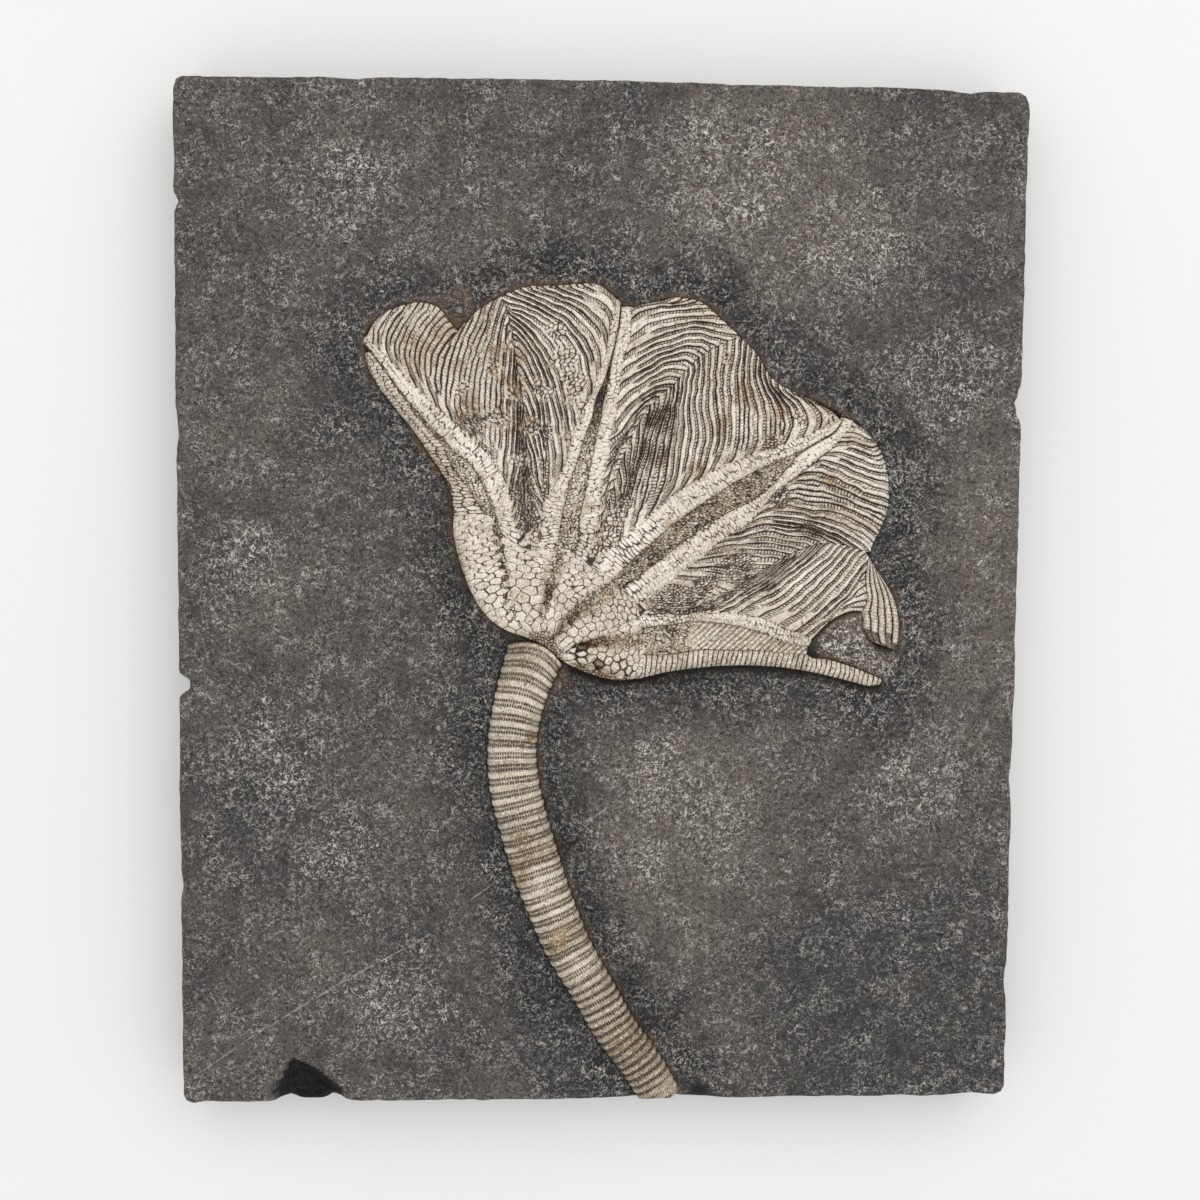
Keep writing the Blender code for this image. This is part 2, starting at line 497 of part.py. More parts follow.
# ------------------------------------------------------------------ column
def stem(finish):
    """The column: half an ellipse carried along its line, swelling at each raised nodal ring. Near the
    crown the rings bow towards it."""
    total = place_on(STEM_LINE, (STEM[-1][0], -SLAB_LENGTH / 2))[0]
    bands = round(total / STEM_BAND_PITCH)
    s = np.linspace(0, total, 2 * bands + 1)
    centre = along(STEM_LINE, s)
    width = np.interp(s, lengths(STEM_LINE), STEM_LINE[:, 2])
    run = np.gradient(centre, axis=0)
    run /= np.hypot(run[:, 0], run[:, 1])[:, None]
    left = np.stack((-run[:, 1], run[:, 0]), axis=1)
    angle = np.linspace(0, math.pi, 7)
    side = np.cos(angle)
    bow = STEM_END_BOW * np.exp(-s / STEM_END_BOW_REACH) + STEM_RING_BOW
    bow[-1] = 0
    swell = np.where(np.arange(len(s)) % 2 == 1, STEM_BAND_HEIGHT, 0.0)
    reach = ((width + swell - STEM_BAND_HEIGHT) / 2)[None, :, None] * side[:, None, None]
    xy = centre[None] + left[None] * reach - run[None] * (bow[None] * (1 - side[:, None] ** 2))[..., None]
    xy[..., 1] = np.maximum(xy[..., 1], -SLAB_LENGTH / 2)
    worn = 1 - STEM_WORN * np.exp(-(total - s) / STEM_WORN_REACH)
    z = STEM_EDGE_LEVEL + (STEM_RISE * worn + swell)[None] * np.sin(angle)[:, None] ** STEM_ROUNDNESS
    return embedded("stem", np.concatenate((xy, z[..., None]), axis=-1), finish)


# ------------------------------------------------------------------ slab
def slab_outline():
    """The sawn slab's edge: a rectangle with round corners, its upper edge bowed."""
    w, h, r = SLAB_WIDTH / 2, SLAB_LENGTH / 2, SLAB_CORNER_RADIUS
    corners = ((w - r, h - r, 0), (r - w, h - r, 90), (r - w, r - h, 180), (w - r, r - h, 270))
    ring = []
    for x, y, turn in corners:
        a = np.radians(turn + np.linspace(0, 90, 5))
        ring.append(np.stack((x + r * np.cos(a), y + r * np.sin(a)), axis=1))
    ring = np.vstack(ring + [ring[0][:1]])
    places = np.unique(np.concatenate((lengths(ring), np.arange(0, lengths(ring)[-1], SLAB_EDGE_SPACING))))
    edge = along(ring, places)[:-1]
    bowed = edge[:, 1] > 0
    edge[bowed, 1] += TOP_EDGE_BOW * np.cos(math.pi * edge[bowed, 0] / SLAB_WIDTH)
    return edge


def stem_outline():
    """The column's edge on the map, as a closed line."""
    left, right = (beside(STEM_LINE, half * STEM_LINE[:, 2] / 2) for half in (1, -1))
    across = np.linspace(-1, 1, 15)[:, None]
    back = STEM_LINE[0, :2] - STEM_LINE[2, :2]
    back *= (STEM_END_BOW + STEM_RING_BOW) / np.hypot(*back)
    cap = (right[0] + left[0]) / 2 + (left[0] - right[0]) / 2 * across + back * (1 - across**2)
    return np.vstack((left[1:], right[:0:-1], cap))


def rock_level(x, y, fossil_line):
    """The rock's height: flat, and scraped down smoothly to SCRAPED_DEPTH beside the fossil."""
    t = np.clip(distance_to(fossil_line, x, y) / SCRAPED_REACH, 0, 1)
    return SLAB_THICKNESS - SCRAPED_DEPTH * (1 - t * t * (3 - 2 * t))


def cutter_over(name, ring, low, high=2 * SLAB_THICKNESS):
    """A straight-sided cutter over a closed line; low is its underside's height, one or one a point."""
    n = len(ring)
    vertices = np.vstack((np.column_stack((ring, np.full(n, low))), np.column_stack((ring, np.full(n, high)))))
    walls = [(k, (k + 1) % n, n + (k + 1) % n, n + k) for k in range(n)]
    caps = [tuple(range(n, 2 * n))]
    caps += [tuple(range(n))] if np.ndim(low) == 0 else [(0, k, k + 1) for k in range(1, n - 1)]
    cutter = put(name, vertices, walls + caps, None)
    cutter.hide_render = True
    cutter.display_type = "WIRE"
    return cutter


def around(line, reach):
    """A closed line moved outwards by reach, without the loops that this makes in its notches."""
    moved = beside(line, reach)
    return moved[distance_to(line, moved[:, 0], moved[:, 1]) > 0.97 * abs(reach)]


def thinned(path, spacing):
    """A closed path with fewer points, closer together where it bends."""
    run = np.gradient(path[:-1, :2], axis=0)
    turn = np.abs(np.diff(np.unwrap(np.arctan2(run[:, 1], run[:, 0]))))
    need = np.diff(lengths(path[:-1])) / spacing + turn / 0.45
    total = np.concatenate(([0.0], np.cumsum(need)))
    picks = np.searchsorted(total, np.arange(0, total[-1], 1.0))
    return path[np.unique(picks), :2]


def slab(finish):
    """The slab: a height field over its outline, with the fossil's pocket and the big chip cut out."""
    stem_ring = stem_outline()
    fossil_line = np.vstack((RIM[:, :2], stem_ring))
    edge = slab_outline()
    inner = edge * (1 - 2 * SLAB_EDGE_WEAR / np.array((SLAB_WIDTH, SLAB_LENGTH)))
    closed_stem = np.vstack((stem_ring, stem_ring[:1]))
    rings = []
    for source in (RIM, closed_stem):
        for reach, spacing in SCRAPED_RINGS:
            rings.append(thinned(around(source, reach), spacing))
    spots = np.vstack(rings)
    limit = np.array((SLAB_WIDTH, SLAB_LENGTH)) / 2 - SLAB_CORNER_RADIUS
    spots = spots[(np.abs(spots) < limit).all(axis=1)]
    count = len(inner)
    points = [Vector(p) for p in np.vstack((inner, spots)).tolist()]
    border = [(k, (k + 1) % count) for k in range(count)]
    flat, _, faces, *_ = delaunay_2d_cdt(points, border, [], 1, 1e-4)
    flat = np.array([tuple(p) for p in flat])
    top = np.column_stack((flat, rock_level(flat[:, 0], flat[:, 1], fossil_line)))
    shoulder = rock_level(edge[:, 0], edge[:, 1], fossil_line) - SLAB_EDGE_WEAR
    sides = np.column_stack((edge, shoulder))
    under = np.column_stack((edge, np.zeros(count)))
    a, b = len(top), len(top) + count
    all_faces = [tuple(f) for f in faces]
    for k in range(count):
        n = (k + 1) % count
        all_faces += [(k, n, a + n, a + k), (a + k, a + n, b + n, b + k)]
    all_faces.append(tuple(range(b, b + count)))
    block = put("slab", np.vstack((top, sides, under)), all_faces, finish)
    margin = CLEARANCE + CHORD_ALLOWANCE
    chip = np.array(CHIP)
    cutters = [
        cutter_over("crown_pocket_cutter", thinned(around(RIM, margin), POCKET_POINT_SPACING), POCKET_FLOOR),
        cutter_over("stem_pocket_cutter", thinned(around(closed_stem, margin), POCKET_POINT_SPACING),
                    POCKET_FLOOR),
        cutter_over("chip_cutter", chip[:, :2], SLAB_THICKNESS - chip[:, 2]),
    ]
    for cutter in cutters:
        cut = block.modifiers.new(cutter.name, "BOOLEAN")
        cut.operation = "DIFFERENCE"
        cut.solver = "EXACT"
        cut.object = cutter
    return block


# ------------------------------------------------------------------ the whole fossil
def build():
    """Clear the scene and make every piece."""
    for old in list(bpy.data.objects):
        bpy.data.objects.remove(old, do_unlink=True)
    shale = material("dark_shale", (0.075, 0.07, 0.068), 0.85)
    calcite = material("pale_calcite", (0.62, 0.56, 0.46), 0.6)
    skin = material("stained_skin", (0.42, 0.37, 0.29), 0.75)
    column = material("column_calcite", (0.55, 0.49, 0.39), 0.6)

    slab(shale)
    stem(column)
    cup(calcite)
    half = CLEARANCE / 2
    apex = {ray: meet(RIM, line) for ray, line in FORKS.items()}
    fans = (
        ("ray_2_left_arm", "1_2", 1, 2, 1, FAN_2_LEFT, 16),
        ("ray_2_right_arm", "2_3", -1, 2, -1, FAN_2_RIGHT, 15),
        ("ray_3_left_arm", "2_3", 1, 3, 1, FAN_3_LEFT, 14),
        ("ray_3_right_arm", "3_4", -1, 3, -1, FAN_3_RIGHT, 20),
        ("ray_4_left_arm", "3_4", 1, 4, 1, FAN_4_LEFT, 16),
        ("ray_4_right_arm", "4_5", -1, 4, -1, FAN_4_RIGHT, 12),
    )
    for name, web_name, web_sign, ray, fork_sign, guides, armlets in fans:
        seam = beside(FORKS[ray], fork_sign * half)
        if name == "ray_4_right_arm":
            tips = beside(TIPS_LINE, -half)
            seam = np.vstack((seam[:-SEAM_END_GAP], tips[SEAM_END_GAP:-CORNER_GAP],
                              stretch(RIM, TIPS_SEAM[-1], RIM_BELOW_FAN_4)))
        else:
            seam = np.vstack((seam[:-CORNER_GAP], stretch(RIM, apex[ray], guides[-1][0])))
        arm(name, web_edge(WEBS[web_name], web_sign), seam, guides, armlets, calcite)

    web_side = web_edge(WEBS["1_2"], -1)
    left = stretch(RIM, meet(RIM, ABOVE_CUP[:CUP_LINE_END]), RIM_AT_ARM_1_TIP)
    right = stretch(web_side, meet(web_side, ABOVE_CUP), WEB_AT_ARM_1_TIP)
    bare_arm("ray_1_arm", left, right, 29, calcite)

    web_side = web_edge(WEBS["4_5"], 1)
    low = stretch(RIM, meet(RIM, ABOVE_CUP[-CUP_LINE_END:]), RIM_UNDER_ARM_5_TIP)
    high = np.vstack((stretch(web_side, meet(web_side, ABOVE_CUP), web_side[0]),
                      stretch(RIM, RIM_AT_GAP_CORNER, RIM_AT_ARM_5_TIP)))
    bare_arm("ray_5_arm", high, low, 33, calcite)

    left = np.vstack((stretch(beside(TIPS_LINE, half), TIPS_TOP_LEFT, TIPS_SEAM[-1]),
                      stretch(RIM, RIM_BELOW_TIPS_SEAM, TIPS_BOTTOM_LEFT)))
    right = stretch(RIM, TIPS_TOP_RIGHT, TIPS_BOTTOM_RIGHT)
    loose_armlets("ray_5_arm_tips", left, right, 5, 9, calcite)

    for name, steps in (("1_2", 9), ("2_3", 18), ("3_4", 20), ("4_5", 14)):
        web("web_" + name, WEBS[name], steps, skin)


build()
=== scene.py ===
"""A crinoid fossil in its slab of dark shale: the carved surfaces and finishes that dress the solids.

Lengths are millimetres on the slab, x to the crown's right, y from the column's end to the crown and z up
from the underside. put() turns them into the frame's metres at the very end.

The crown is laid out like a map. OUTLINE is its rim, each WEB the skin between two rays (a centre line
with a width), each FORK the seam between the two arms of one ray, and CUP_TOP the line where the arms
leave the cup.

Every surface is a grid of points worked out as whole arrays, with marks on them for its finish. The
fossil's marks are furrow (how deep in a furrow or joint, 0 to 1; in the cup's valleys it also holds
painted shade), ochre (how rusty, 0 to 1), tone (paler above 0, duller below; it also holds a painted
highlight on the armlets' crests, painted shade on their flanks and painted shade in the cup's valleys)
and line (how near a joint's middle, 0 to 1). Armlets add beads (the place along the armlet, counted in
beads) and row (how clearly the beads show), and the column adds arc (millimetres round it). The slab's
marks, each from 0 to 1, are near (beside the fossil), grit (pale speckle), earth, the painted shadow
along the edges of the crown and the column (darkest under the crown's lower edge), fresh (newly broken
rock), and broad, which makes the rock paler above 0 and darker below.
"""

import math

import bpy
import numpy as np
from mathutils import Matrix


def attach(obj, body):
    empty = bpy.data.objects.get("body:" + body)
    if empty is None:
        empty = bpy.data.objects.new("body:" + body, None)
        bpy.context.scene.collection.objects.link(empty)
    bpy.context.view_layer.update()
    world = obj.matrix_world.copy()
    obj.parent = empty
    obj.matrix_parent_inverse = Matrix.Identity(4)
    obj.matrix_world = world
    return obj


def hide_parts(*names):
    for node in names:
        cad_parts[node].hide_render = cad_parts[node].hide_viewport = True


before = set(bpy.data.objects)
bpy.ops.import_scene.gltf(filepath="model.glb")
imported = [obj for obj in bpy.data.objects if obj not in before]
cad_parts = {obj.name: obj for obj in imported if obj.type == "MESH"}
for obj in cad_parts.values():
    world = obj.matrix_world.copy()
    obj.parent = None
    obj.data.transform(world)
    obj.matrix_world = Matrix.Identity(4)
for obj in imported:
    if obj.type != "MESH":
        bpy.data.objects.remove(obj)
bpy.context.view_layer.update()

# ------------------------------------------------------------------ sizes, in millimetres
MM = 0.001
SLAB_WIDTH = 206.5
SLAB_LENGTH = 250.0
SLAB_THICKNESS = 18.0
TOP_EDGE_BOW = 1.0            # the upper edge is sawn a little convex
SLAB_EDGE_WEAR = 0.7
SCRAPED_DEPTH = 2.0           # the rock is scraped down around the fossil
SCRAPED_REACH = 11.0
BEDDED = 13.0                 # the fossil's bodies go down to this level, inside the rock
SEAM = 0.03                   # half the joint between two bodies
WEB_SINK = 0.3                # the webs lie this much below the skin's level

RIM_LEVEL = 17.1              # height of the crown's skin far from the cup
CUP_RISE = 3.3                # the cup swells this much above it
CUP_SPREAD = 27.0
CUP_MIDDLE = (-13.0, 4.0)
RIM_ROUNDING = 0.9            # the skin turns down this much at the rim
RIM_ROUNDING_REACH = 1.3
TRUNK_HEIGHT = 2.3            # an arm's round trunk at the cup, above the skin
TRUNK_TIP_HEIGHT = 0.9
TRUNK_TAPER = 1.3
TRUNK_FOOT = 0.35             # the armlets leave the trunk at this part of its height
ARMLET_HEIGHT = 0.45          # half the height of an armlet's ridge
TRUNK_FOOT_REACH = 2.2        # the foot fades out over this way along the armlets
CALM_HEIGHT = 21.6            # what rises above this is drawn down gently
CALM_ROOM = 0.6               # and stays under this much more
LINE_REACH = 0.4              # a joint's drawn line fades out this far from its middle
PLATE_ROUNDING = 0.35         # a trunk's plate is rounded this far in from its joint
RING_PITCH = 1.25             # the rings of the arm without forks

STEM_RISE = 4.9               # crest of the column above its edges
STEM_EDGE_LEVEL = 15.6
STEM_BAND_PITCH = 3.0         # one raised nodal and the thin columnals to the next
STEM_BAND_HEIGHT = 0.28
STEM_RING_BOW = 0.3
STEM_END_BOW = 2.6
STEM_END_BOW_REACH = 12.0
STEM_ROUNDNESS = 0.8
STEM_BREAK = (-7.5, -87)      # where the column is cracked across
STEM_BREAK_STEP = 0.3         # how much lower it goes on past the crack
STEM_TOOTH_PITCH = 0.68       # the teeth of the column's joints, round it
SLAB_CORNER_WEAR = 2.2        # the sawn corners are blunted over this length

# ------------------------------------------------------------------ the crown's map, clockwise from the cup
OUTLINE = (
    (-24, -6.5), (-27.5, -4), (-31, 0.5), (-33.5, 6), (-35.5, 12), (-36.5, 17.5),
    (-36.5, 23), (-38, 29), (-41.5, 34.5), (-46.5, 42), (-51.5, 48), (-55.5, 53.5),
    (-57.5, 58), (-58, 62), (-57, 66), (-54, 69.5), (-49.5, 71.5), (-44.5, 72.5),
    (-40.5, 71.5), (-37.5, 68), (-35, 65.5), (-33.5, 68), (-30.5, 71), (-25.5, 74),
    (-19.5, 76.5), (-12, 77), (-6, 77.5), (-1.5, 77.5), (1.5, 75.5), (4, 72.5),
    (6.5, 72), (12, 73.5), (18.5, 74.5), (23.5, 73.5), (28.5, 69.5), (34, 64.5),
    (37.5, 61), (39.5, 57.5), (41, 55.5), (45.5, 52.5), (51.5, 50), (58, 47),
    (64, 43.5), (68.5, 37.5), (70.5, 30.5), (70.5, 24), (68.5, 18), (66.5, 13),
    (67, 10), (69.5, 6.5), (72.5, 1.5), (74, -4), (74, -9), (73.5, -12),
    (70.5, -12), (67, -9.5), (65, -6), (64.5, -2), (61, -2.5), (56.5, -5),
    (53.5, -8.5), (50.5, -11), (51.5, -13), (56.5, -14), (61.5, -15.5), (66.5, -17.5),
    (70.5, -19.5), (67.5, -20.5), (62.5, -19.5), (56.5, -18), (49, -16.5), (39, -15.5),
    (31.5, -15.5), (24, -16), (16.5, -17), (9.5, -18.5), (3, -19), (-1.5, -18),
    (-6.5, -16), (-10, -14), (-13.5, -11), (-18.5, -8.5),
)
CUP_TOP = (
    (-39, 20.5), (-32, 21.5), (-27.5, 21), (-25, 17.5), (-21.5, 14.5), (-17.5, 13),
    (-14, 13.5), (-10.5, 13.5), (-6.5, 12), (-3, 9), (0, 7.5), (3.5, 5),
    (6.5, 2), (8.5, -1.5), (9.5, -5), (10, -9), (10, -14), (9.5, -20.5),
)
# webs between the rays, from the rim to the cup: x, y, width
WEB_1_2 = (
    (-58.5, 63, 0.3), (-54.5, 58, 0.3), (-50.5, 52.5, 0.3), (-47, 48, 0.4), (-44, 44.5, 0.6),
    (-41.5, 41.5, 0.7), (-39, 39, 1), (-37, 36, 2.2), (-34, 32.5, 3.9), (-31.5, 29, 3.7),
    (-29.5, 25, 2.9), (-27.5, 21.5, 2.5), (-26, 16.5, 2.2),
)
WEB_2_3 = (
    (4, 73, 0.3), (3.5, 67.5, 0.3), (2.5, 62.5, 0.3), (1.5, 58.5, 0.5), (0.5, 54, 1.1), (-1, 49.5, 2),
    (-2, 44.5, 2.2), (-3.5, 39.5, 2.9), (-4.5, 35, 3.2), (-6, 30, 3.9), (-7, 25, 4.2), (-8, 20.5, 4.4),
    (-8.5, 15.5, 4.7), (-10, 11.5, 3.2),
)
WEB_3_4 = (
    (59, 47, 0.3), (57.5, 43, 0.3), (53, 40, 0.4), (48, 37, 0.7), (44.5, 34.5, 2.5), (40.5, 31.5, 4.9),
    (36, 28.5, 5.9), (30, 25, 5.4), (23.5, 21, 4.9), (17.5, 16.5, 4.9), (11.5, 11.5, 4.4),
    (6.5, 7.5, 3.7), (2.5, 4, 2.5), (-1.5, 1.5, 2),
)
WEB_4_5 = (
    (51, -11.7, 2), (45, -11, 2.5), (39, -9.5, 4.7), (31.5, -8.5, 6.4), (24, -8, 7.1), (16.5, -9, 7.4),
    (10, -9.5, 6.4), (4.5, -10.5, 3.9),
)
# seams between the two arms of a ray, from the cup to the rim
FORK_2 = (
    (-17.5, 12.5), (-18, 18), (-18.5, 24), (-18.5, 32.5), (-19, 42), (-20, 51.5),
    (-21.5, 59.5), (-22.5, 66), (-24, 71.5), (-25, 74.5),
)
FORK_3 = (
    (-3.3, 8), (-1, 13.5), (0, 18.5), (1.5, 25), (3.5, 32), (6, 39), (9.5, 45.5), (13.5, 50.5),
    (17.5, 54), (21, 58), (25, 61.5), (29, 63.5), (33.5, 65.5),
)
FORK_4 = (
    (7.5, -2.1), (14, -1.5), (20.5, 0), (26.5, 1.5), (33.5, 4.5), (39, 8), (45, 11.5), (50.5, 14),
    (56.5, 15), (62, 14), (67, 12.5),
)
TIPS_SEAM = ((66.5, 13), (65.5, 9.5), (65, 5.5), (65.5, 1), (64.5, -2))

# armlet guides, from the cup to the arm's tip: where one leaves the trunk, two points it passes, its tip
FAN_2_LEFT = (
    ((-22.5, 24.5), (-21, 33.5), (-20.5, 43), (-20.5, 53)),
    ((-25.5, 32.5), (-25, 43), (-24, 55), (-22.8, 67)),
    ((-29.5, 37.5), (-30, 48.5), (-28.5, 59.5), (-24.6, 73)),
    ((-35, 42.5), (-35.8, 51), (-34, 60), (-29.5, 71.5)),
    ((-38.5, 45.5), (-40.8, 53.5), (-39.8, 60), (-35, 65.5)),
    ((-43.5, 50.5), (-46.2, 57.3), (-45.8, 63.5), (-40.5, 71.5)),
    ((-50, 56.5), (-52.2, 61.5), (-51, 66.3), (-46.5, 72)),
    ((-57.5, 64.5), (-56.5, 66.5), (-55.5, 68), (-54, 69.5)),
)
FAN_2_RIGHT = (
    ((-14.5, 24), (-16.5, 28.5), (-18, 33.5), (-18.5, 37)),
    ((-13.5, 26), (-14, 38.5), (-16, 51), (-21.5, 61)),
    ((-10.5, 32), (-11, 43.5), (-14.5, 55.5), (-23, 67)),
    ((-8, 39.5), (-9, 49.5), (-13, 60), (-24, 71)),
    ((-4.5, 46.5), (-6, 55.5), (-11.5, 65.5), (-24, 72.5)),
    ((-2, 54), (-4, 62.5), (-10, 69), (-22.5, 75.5)),
    ((0.5, 61.5), (-2, 68), (-8, 72), (-18, 76.5)),
    ((1.5, 67.5), (-0.5, 72), (-5, 74.5), (-10.5, 77)),
    ((3, 74), (1.5, 75.5), (-0.5, 77), (-2.5, 77.5)),
)
FAN_3_LEFT = (
    ((-1, 20.5), (0, 21.5), (0.5, 23), (1, 24.5)),
    ((0, 30), (1.5, 32), (2.5, 34), (4.5, 35.5)),
    ((1.5, 38.5), (5, 42.5), (8.5, 46.5), (12.5, 49)),
    ((3.5, 49.5), (8.5, 54), (14.5, 57.5), (20.5, 57.5)),
    ((4.5, 56.5), (11.5, 61.5), (20, 64), (27.5, 63)),
    ((6, 63.5), (12, 67.5), (20, 69), (29, 68.5)),
    ((6.5, 68.5), (12, 71.5), (18.5, 72.5), (24, 73)),
    ((7, 72), (9.5, 73), (12.5, 73.5), (15.5, 74)),
)
FAN_3_RIGHT = (
    ((1, 13), (0.5, 14.5), (0.2, 16), (0, 17.5)),
    ((4.5, 16), (6, 25.5), (9, 35), (12.5, 49)),
    ((10, 21), (13.5, 30), (15.5, 40.5), (17.5, 54)),
    ((16, 26), (20, 35), (20.5, 46), (21.5, 58.5)),
    ((23.5, 31), (26.5, 39), (26, 49.5), (26, 62)),
    ((29, 33.5), (31.5, 42.5), (31.5, 53.5), (32.5, 65)),
    ((35.5, 36.5), (37.5, 44), (35.5, 53.5), (36, 62.5)),
    ((41, 38), (43, 45), (40, 52.5), (39, 58.5)),
    ((47, 40), (48, 46.5), (45, 50.5), (43, 54)),
    ((52.5, 42.5), (53, 47), (50, 49.5), (47.5, 51.5)),
    ((58, 45.5), (56, 47.5), (54, 48.5), (51.5, 49.5)),
)
FAN_4_LEFT = (
    ((13, 2.5), (14.5, 1.5), (16.5, 0.5), (19, -0.5)),
    ((21.5, 9.5), (27.5, 9.5), (33.5, 9), (40, 8.5)),
    ((29, 15), (37.5, 17), (46, 17), (54, 14.5)),
    ((34, 19), (44.5, 21.5), (57, 19), (66.5, 13)),
    ((38.5, 22.5), (48.5, 24.5), (59.5, 22.5), (68.5, 18)),
    ((42, 26.5), (50.5, 29.5), (60.5, 26.5), (70.5, 23)),
    ((47, 31), (54.5, 34), (61.5, 31), (70.5, 28)),
    ((52.5, 35.5), (58, 36.5), (64, 34.5), (69.5, 33.5)),
    ((57, 39), (61.5, 39.5), (65, 38.5), (67.5, 38.5)),
    ((61.5, 45), (63, 44), (64.5, 43), (66, 41)),
)
FAN_4_RIGHT = (
    ((16.5, -2.5), (19, -1.8), (21.5, -1), (24, 0.7)),
    ((24, -2), (31, 0.8), (38, 5.2), (46, 12)),
    ((32.5, -2), (40.5, 2.5), (48, 8), (56, 15)),
    ((39.5, -3.5), (47.5, 1), (54, 6.5), (61, 14)),
    ((45, -5.5), (52.5, -1), (58.5, 5), (65, 13)),
    ((49.5, -7.5), (55.5, -3), (61.5, 3), (65.5, 8)),
    ((52, -9), (55, -6), (59.5, -2.8), (64, -1.8)),
)
RIM_AT_ARM_1_TIP = (-58, 60)
WEB_AT_ARM_1_TIP = (-56.8, 60.8)
RIM_AT_GAP_CORNER = (51.5, -13)
RIM_AT_ARM_5_TIP = (69.5, -19.3)
RIM_UNDER_ARM_5_TIP = (69.3, -20.3)
RIM_BELOW_FAN_4 = (50.5, -11)
RIM_BELOW_TIPS_SEAM = (65, -4)
TIPS_TOP_LEFT = (66.3, 11.2)
TIPS_TOP_RIGHT = (68, 8.5)
TIPS_BOTTOM_LEFT = (67, -9.3)
TIPS_BOTTOM_RIGHT = (73.4, -11.7)

# the column's centre line from the crown to the slab's edge: x, y, width
STEM = (
    (-16.5, -13, 14), (-18.5, -18.5, 13), (-20.5, -25.5, 12.3), (-22, -35, 12), (-21.5, -45, 12.3),
    (-19, -55.5, 12.3), (-16, -65.5, 12.3), (-12, -76.5, 11.8), (-7.5, -87, 11.3), (-2, -96.5, 10.8),
    (4, -107, 10.6), (10.5, -116, 10.3), (16.5, -126, 10.1),
)


# ------------------------------------------------------------------ lines on the map
def flow(points, step=0.3, closed=False):
    """A smooth line through the points: Hermite pieces whose tangents are the average slopes at each
    point, weighted by the chords, sampled about every step. Extra columns, such as a width, ride along."""
    p = np.array(points, dtype=float)
    if closed:
        p = np.vstack((p[-2:], p, p[:3]))
    chord = np.hypot(*(p[1:, :2] - p[:-1, :2]).T)
    slope = (p[1:] - p[:-1]) / chord[:, None]
    inner = slope[:-1] * chord[1:, None] + slope[1:] * chord[:-1, None]
    inner /= (chord[1:] + chord[:-1])[:, None]
    tangent = np.vstack((slope[:1], inner, slope[-1:]))
    pieces = range(2, len(p) - 3) if closed else range(len(p) - 1)
    parts = []
    for k in pieces:
        t = np.linspace(0, 1, max(2, math.ceil(chord[k] / step)) + 1)[:-1, None]
        leaving = (2 * t**3 - 3 * t**2 + 1) * p[k] + (t**3 - 2 * t**2 + t) * chord[k] * tangent[k]
        parts.append(leaving + (3 * t**2 - 2 * t**3) * p[k + 1]
                     + (t**3 - t**2) * chord[k] * tangent[k + 1])
    end = p[2] if closed else p[-1]
    return np.vstack(parts + [end[None]])


def lengths(path):
    """Distance along the path to each of its points."""
    return np.concatenate(([0.0], np.cumsum(np.hypot(*np.diff(path[:, :2], axis=0).T))))


def along(path, where):
    """The path's points at the distances where."""
    s = lengths(path)
    return np.stack([np.interp(where, s, path[:, k]) for k in range(2)], axis=-1)


def place_on(path, points):
    """Distance along the path to its point nearest each given point."""
    p = np.atleast_2d(np.array(points, dtype=float))[:, :2]
    apart = np.hypot(p[:, None, 0] - path[None, :, 0], p[:, None, 1] - path[None, :, 1])
    return lengths(path)[apart.argmin(axis=1)]


def headings(path):
    """The path's direction at each of its points, and the direction to its left."""
    run = np.gradient(path[:, :2], axis=0)
    run /= np.hypot(run[:, 0], run[:, 1])[:, None]
    return run, np.stack((-run[:, 1], run[:, 0]), axis=1)


def beside(path, offset):
    """The path moved to its left by offset, a number or one number for each point."""
    return path[:, :2] + headings(path)[1] * np.reshape(offset, (-1, 1))


def web_edge(web, side, inset=0.0):
    """One edge of a web: its centre line moved to one side by half its width, less the inset."""
    return beside(web, side * np.maximum(web[:, 2] / 2 - inset, 0.02))


def stretch(path, start, end):
    """The part of the path between the places nearest two points, run from start to end. On a closed
    rim it takes the way round that the shorter run gives."""
    a, b = place_on(path, (start, end))
    total = lengths(path)[-1]
    closed = np.allclose(path[0, :2], path[-1, :2])
    if closed and abs(b - a) > total / 2:
        b += total if b < a else -total
    where = np.linspace(a, b, max(2, math.ceil(abs(b - a) / 0.3)) + 1)
    return along(path, np.mod(where, total) if closed else where)


def meet(path, other):
    """The point of the path that is nearest to the other path."""
    apart = np.hypot(path[:, None, 0] - other[None, :, 0], path[:, None, 1] - other[None, :, 1])
    return path[np.unravel_index(apart.argmin(), apart.shape)[0], :2]


def glide(values, where):
    """Smooth curve through equally spaced values (Catmull-Rom), read at the places where."""
    v = np.array(values, dtype=float)
    v = np.concatenate((2 * v[:1] - v[1:2], v, 2 * v[-1:] - v[-2:-1]))
    k = np.clip(np.floor(where).astype(int), 0, len(v) - 4)
    t = (where - k).reshape((-1,) + (1,) * (v.ndim - 1))
    a, b, c, d = v[k], v[k + 1], v[k + 2], v[k + 3]
    return b + 0.5 * t * (c - a + t * (2 * a - 5 * b + 4 * c - d + t * (3 * (b - c) + d - a)))


def distance_to(path, x, y):
    """Distance from each (x, y) to the path: the least over its straight pieces of the way to the foot of
    the perpendicular, or to the nearer end."""
    flat = np.stack((np.ravel(x), np.ravel(y)), axis=1)[:, None]
    a, b = path[:-1, :2], path[1:, :2]
    best = np.full(len(flat), 1e9)
    for block in np.array_split(np.arange(len(a)), max(1, len(a) // 24)):
        run = b[block] - a[block]
        off = flat - a[block]
        t = np.clip((off * run).sum(axis=2) / np.maximum((run * run).sum(axis=1), 1e-9), 0, 1)
        best = np.minimum(best, np.hypot(*np.moveaxis(off - t[..., None] * run, 2, 0)).min(axis=1))
    return best.reshape(np.shape(x))


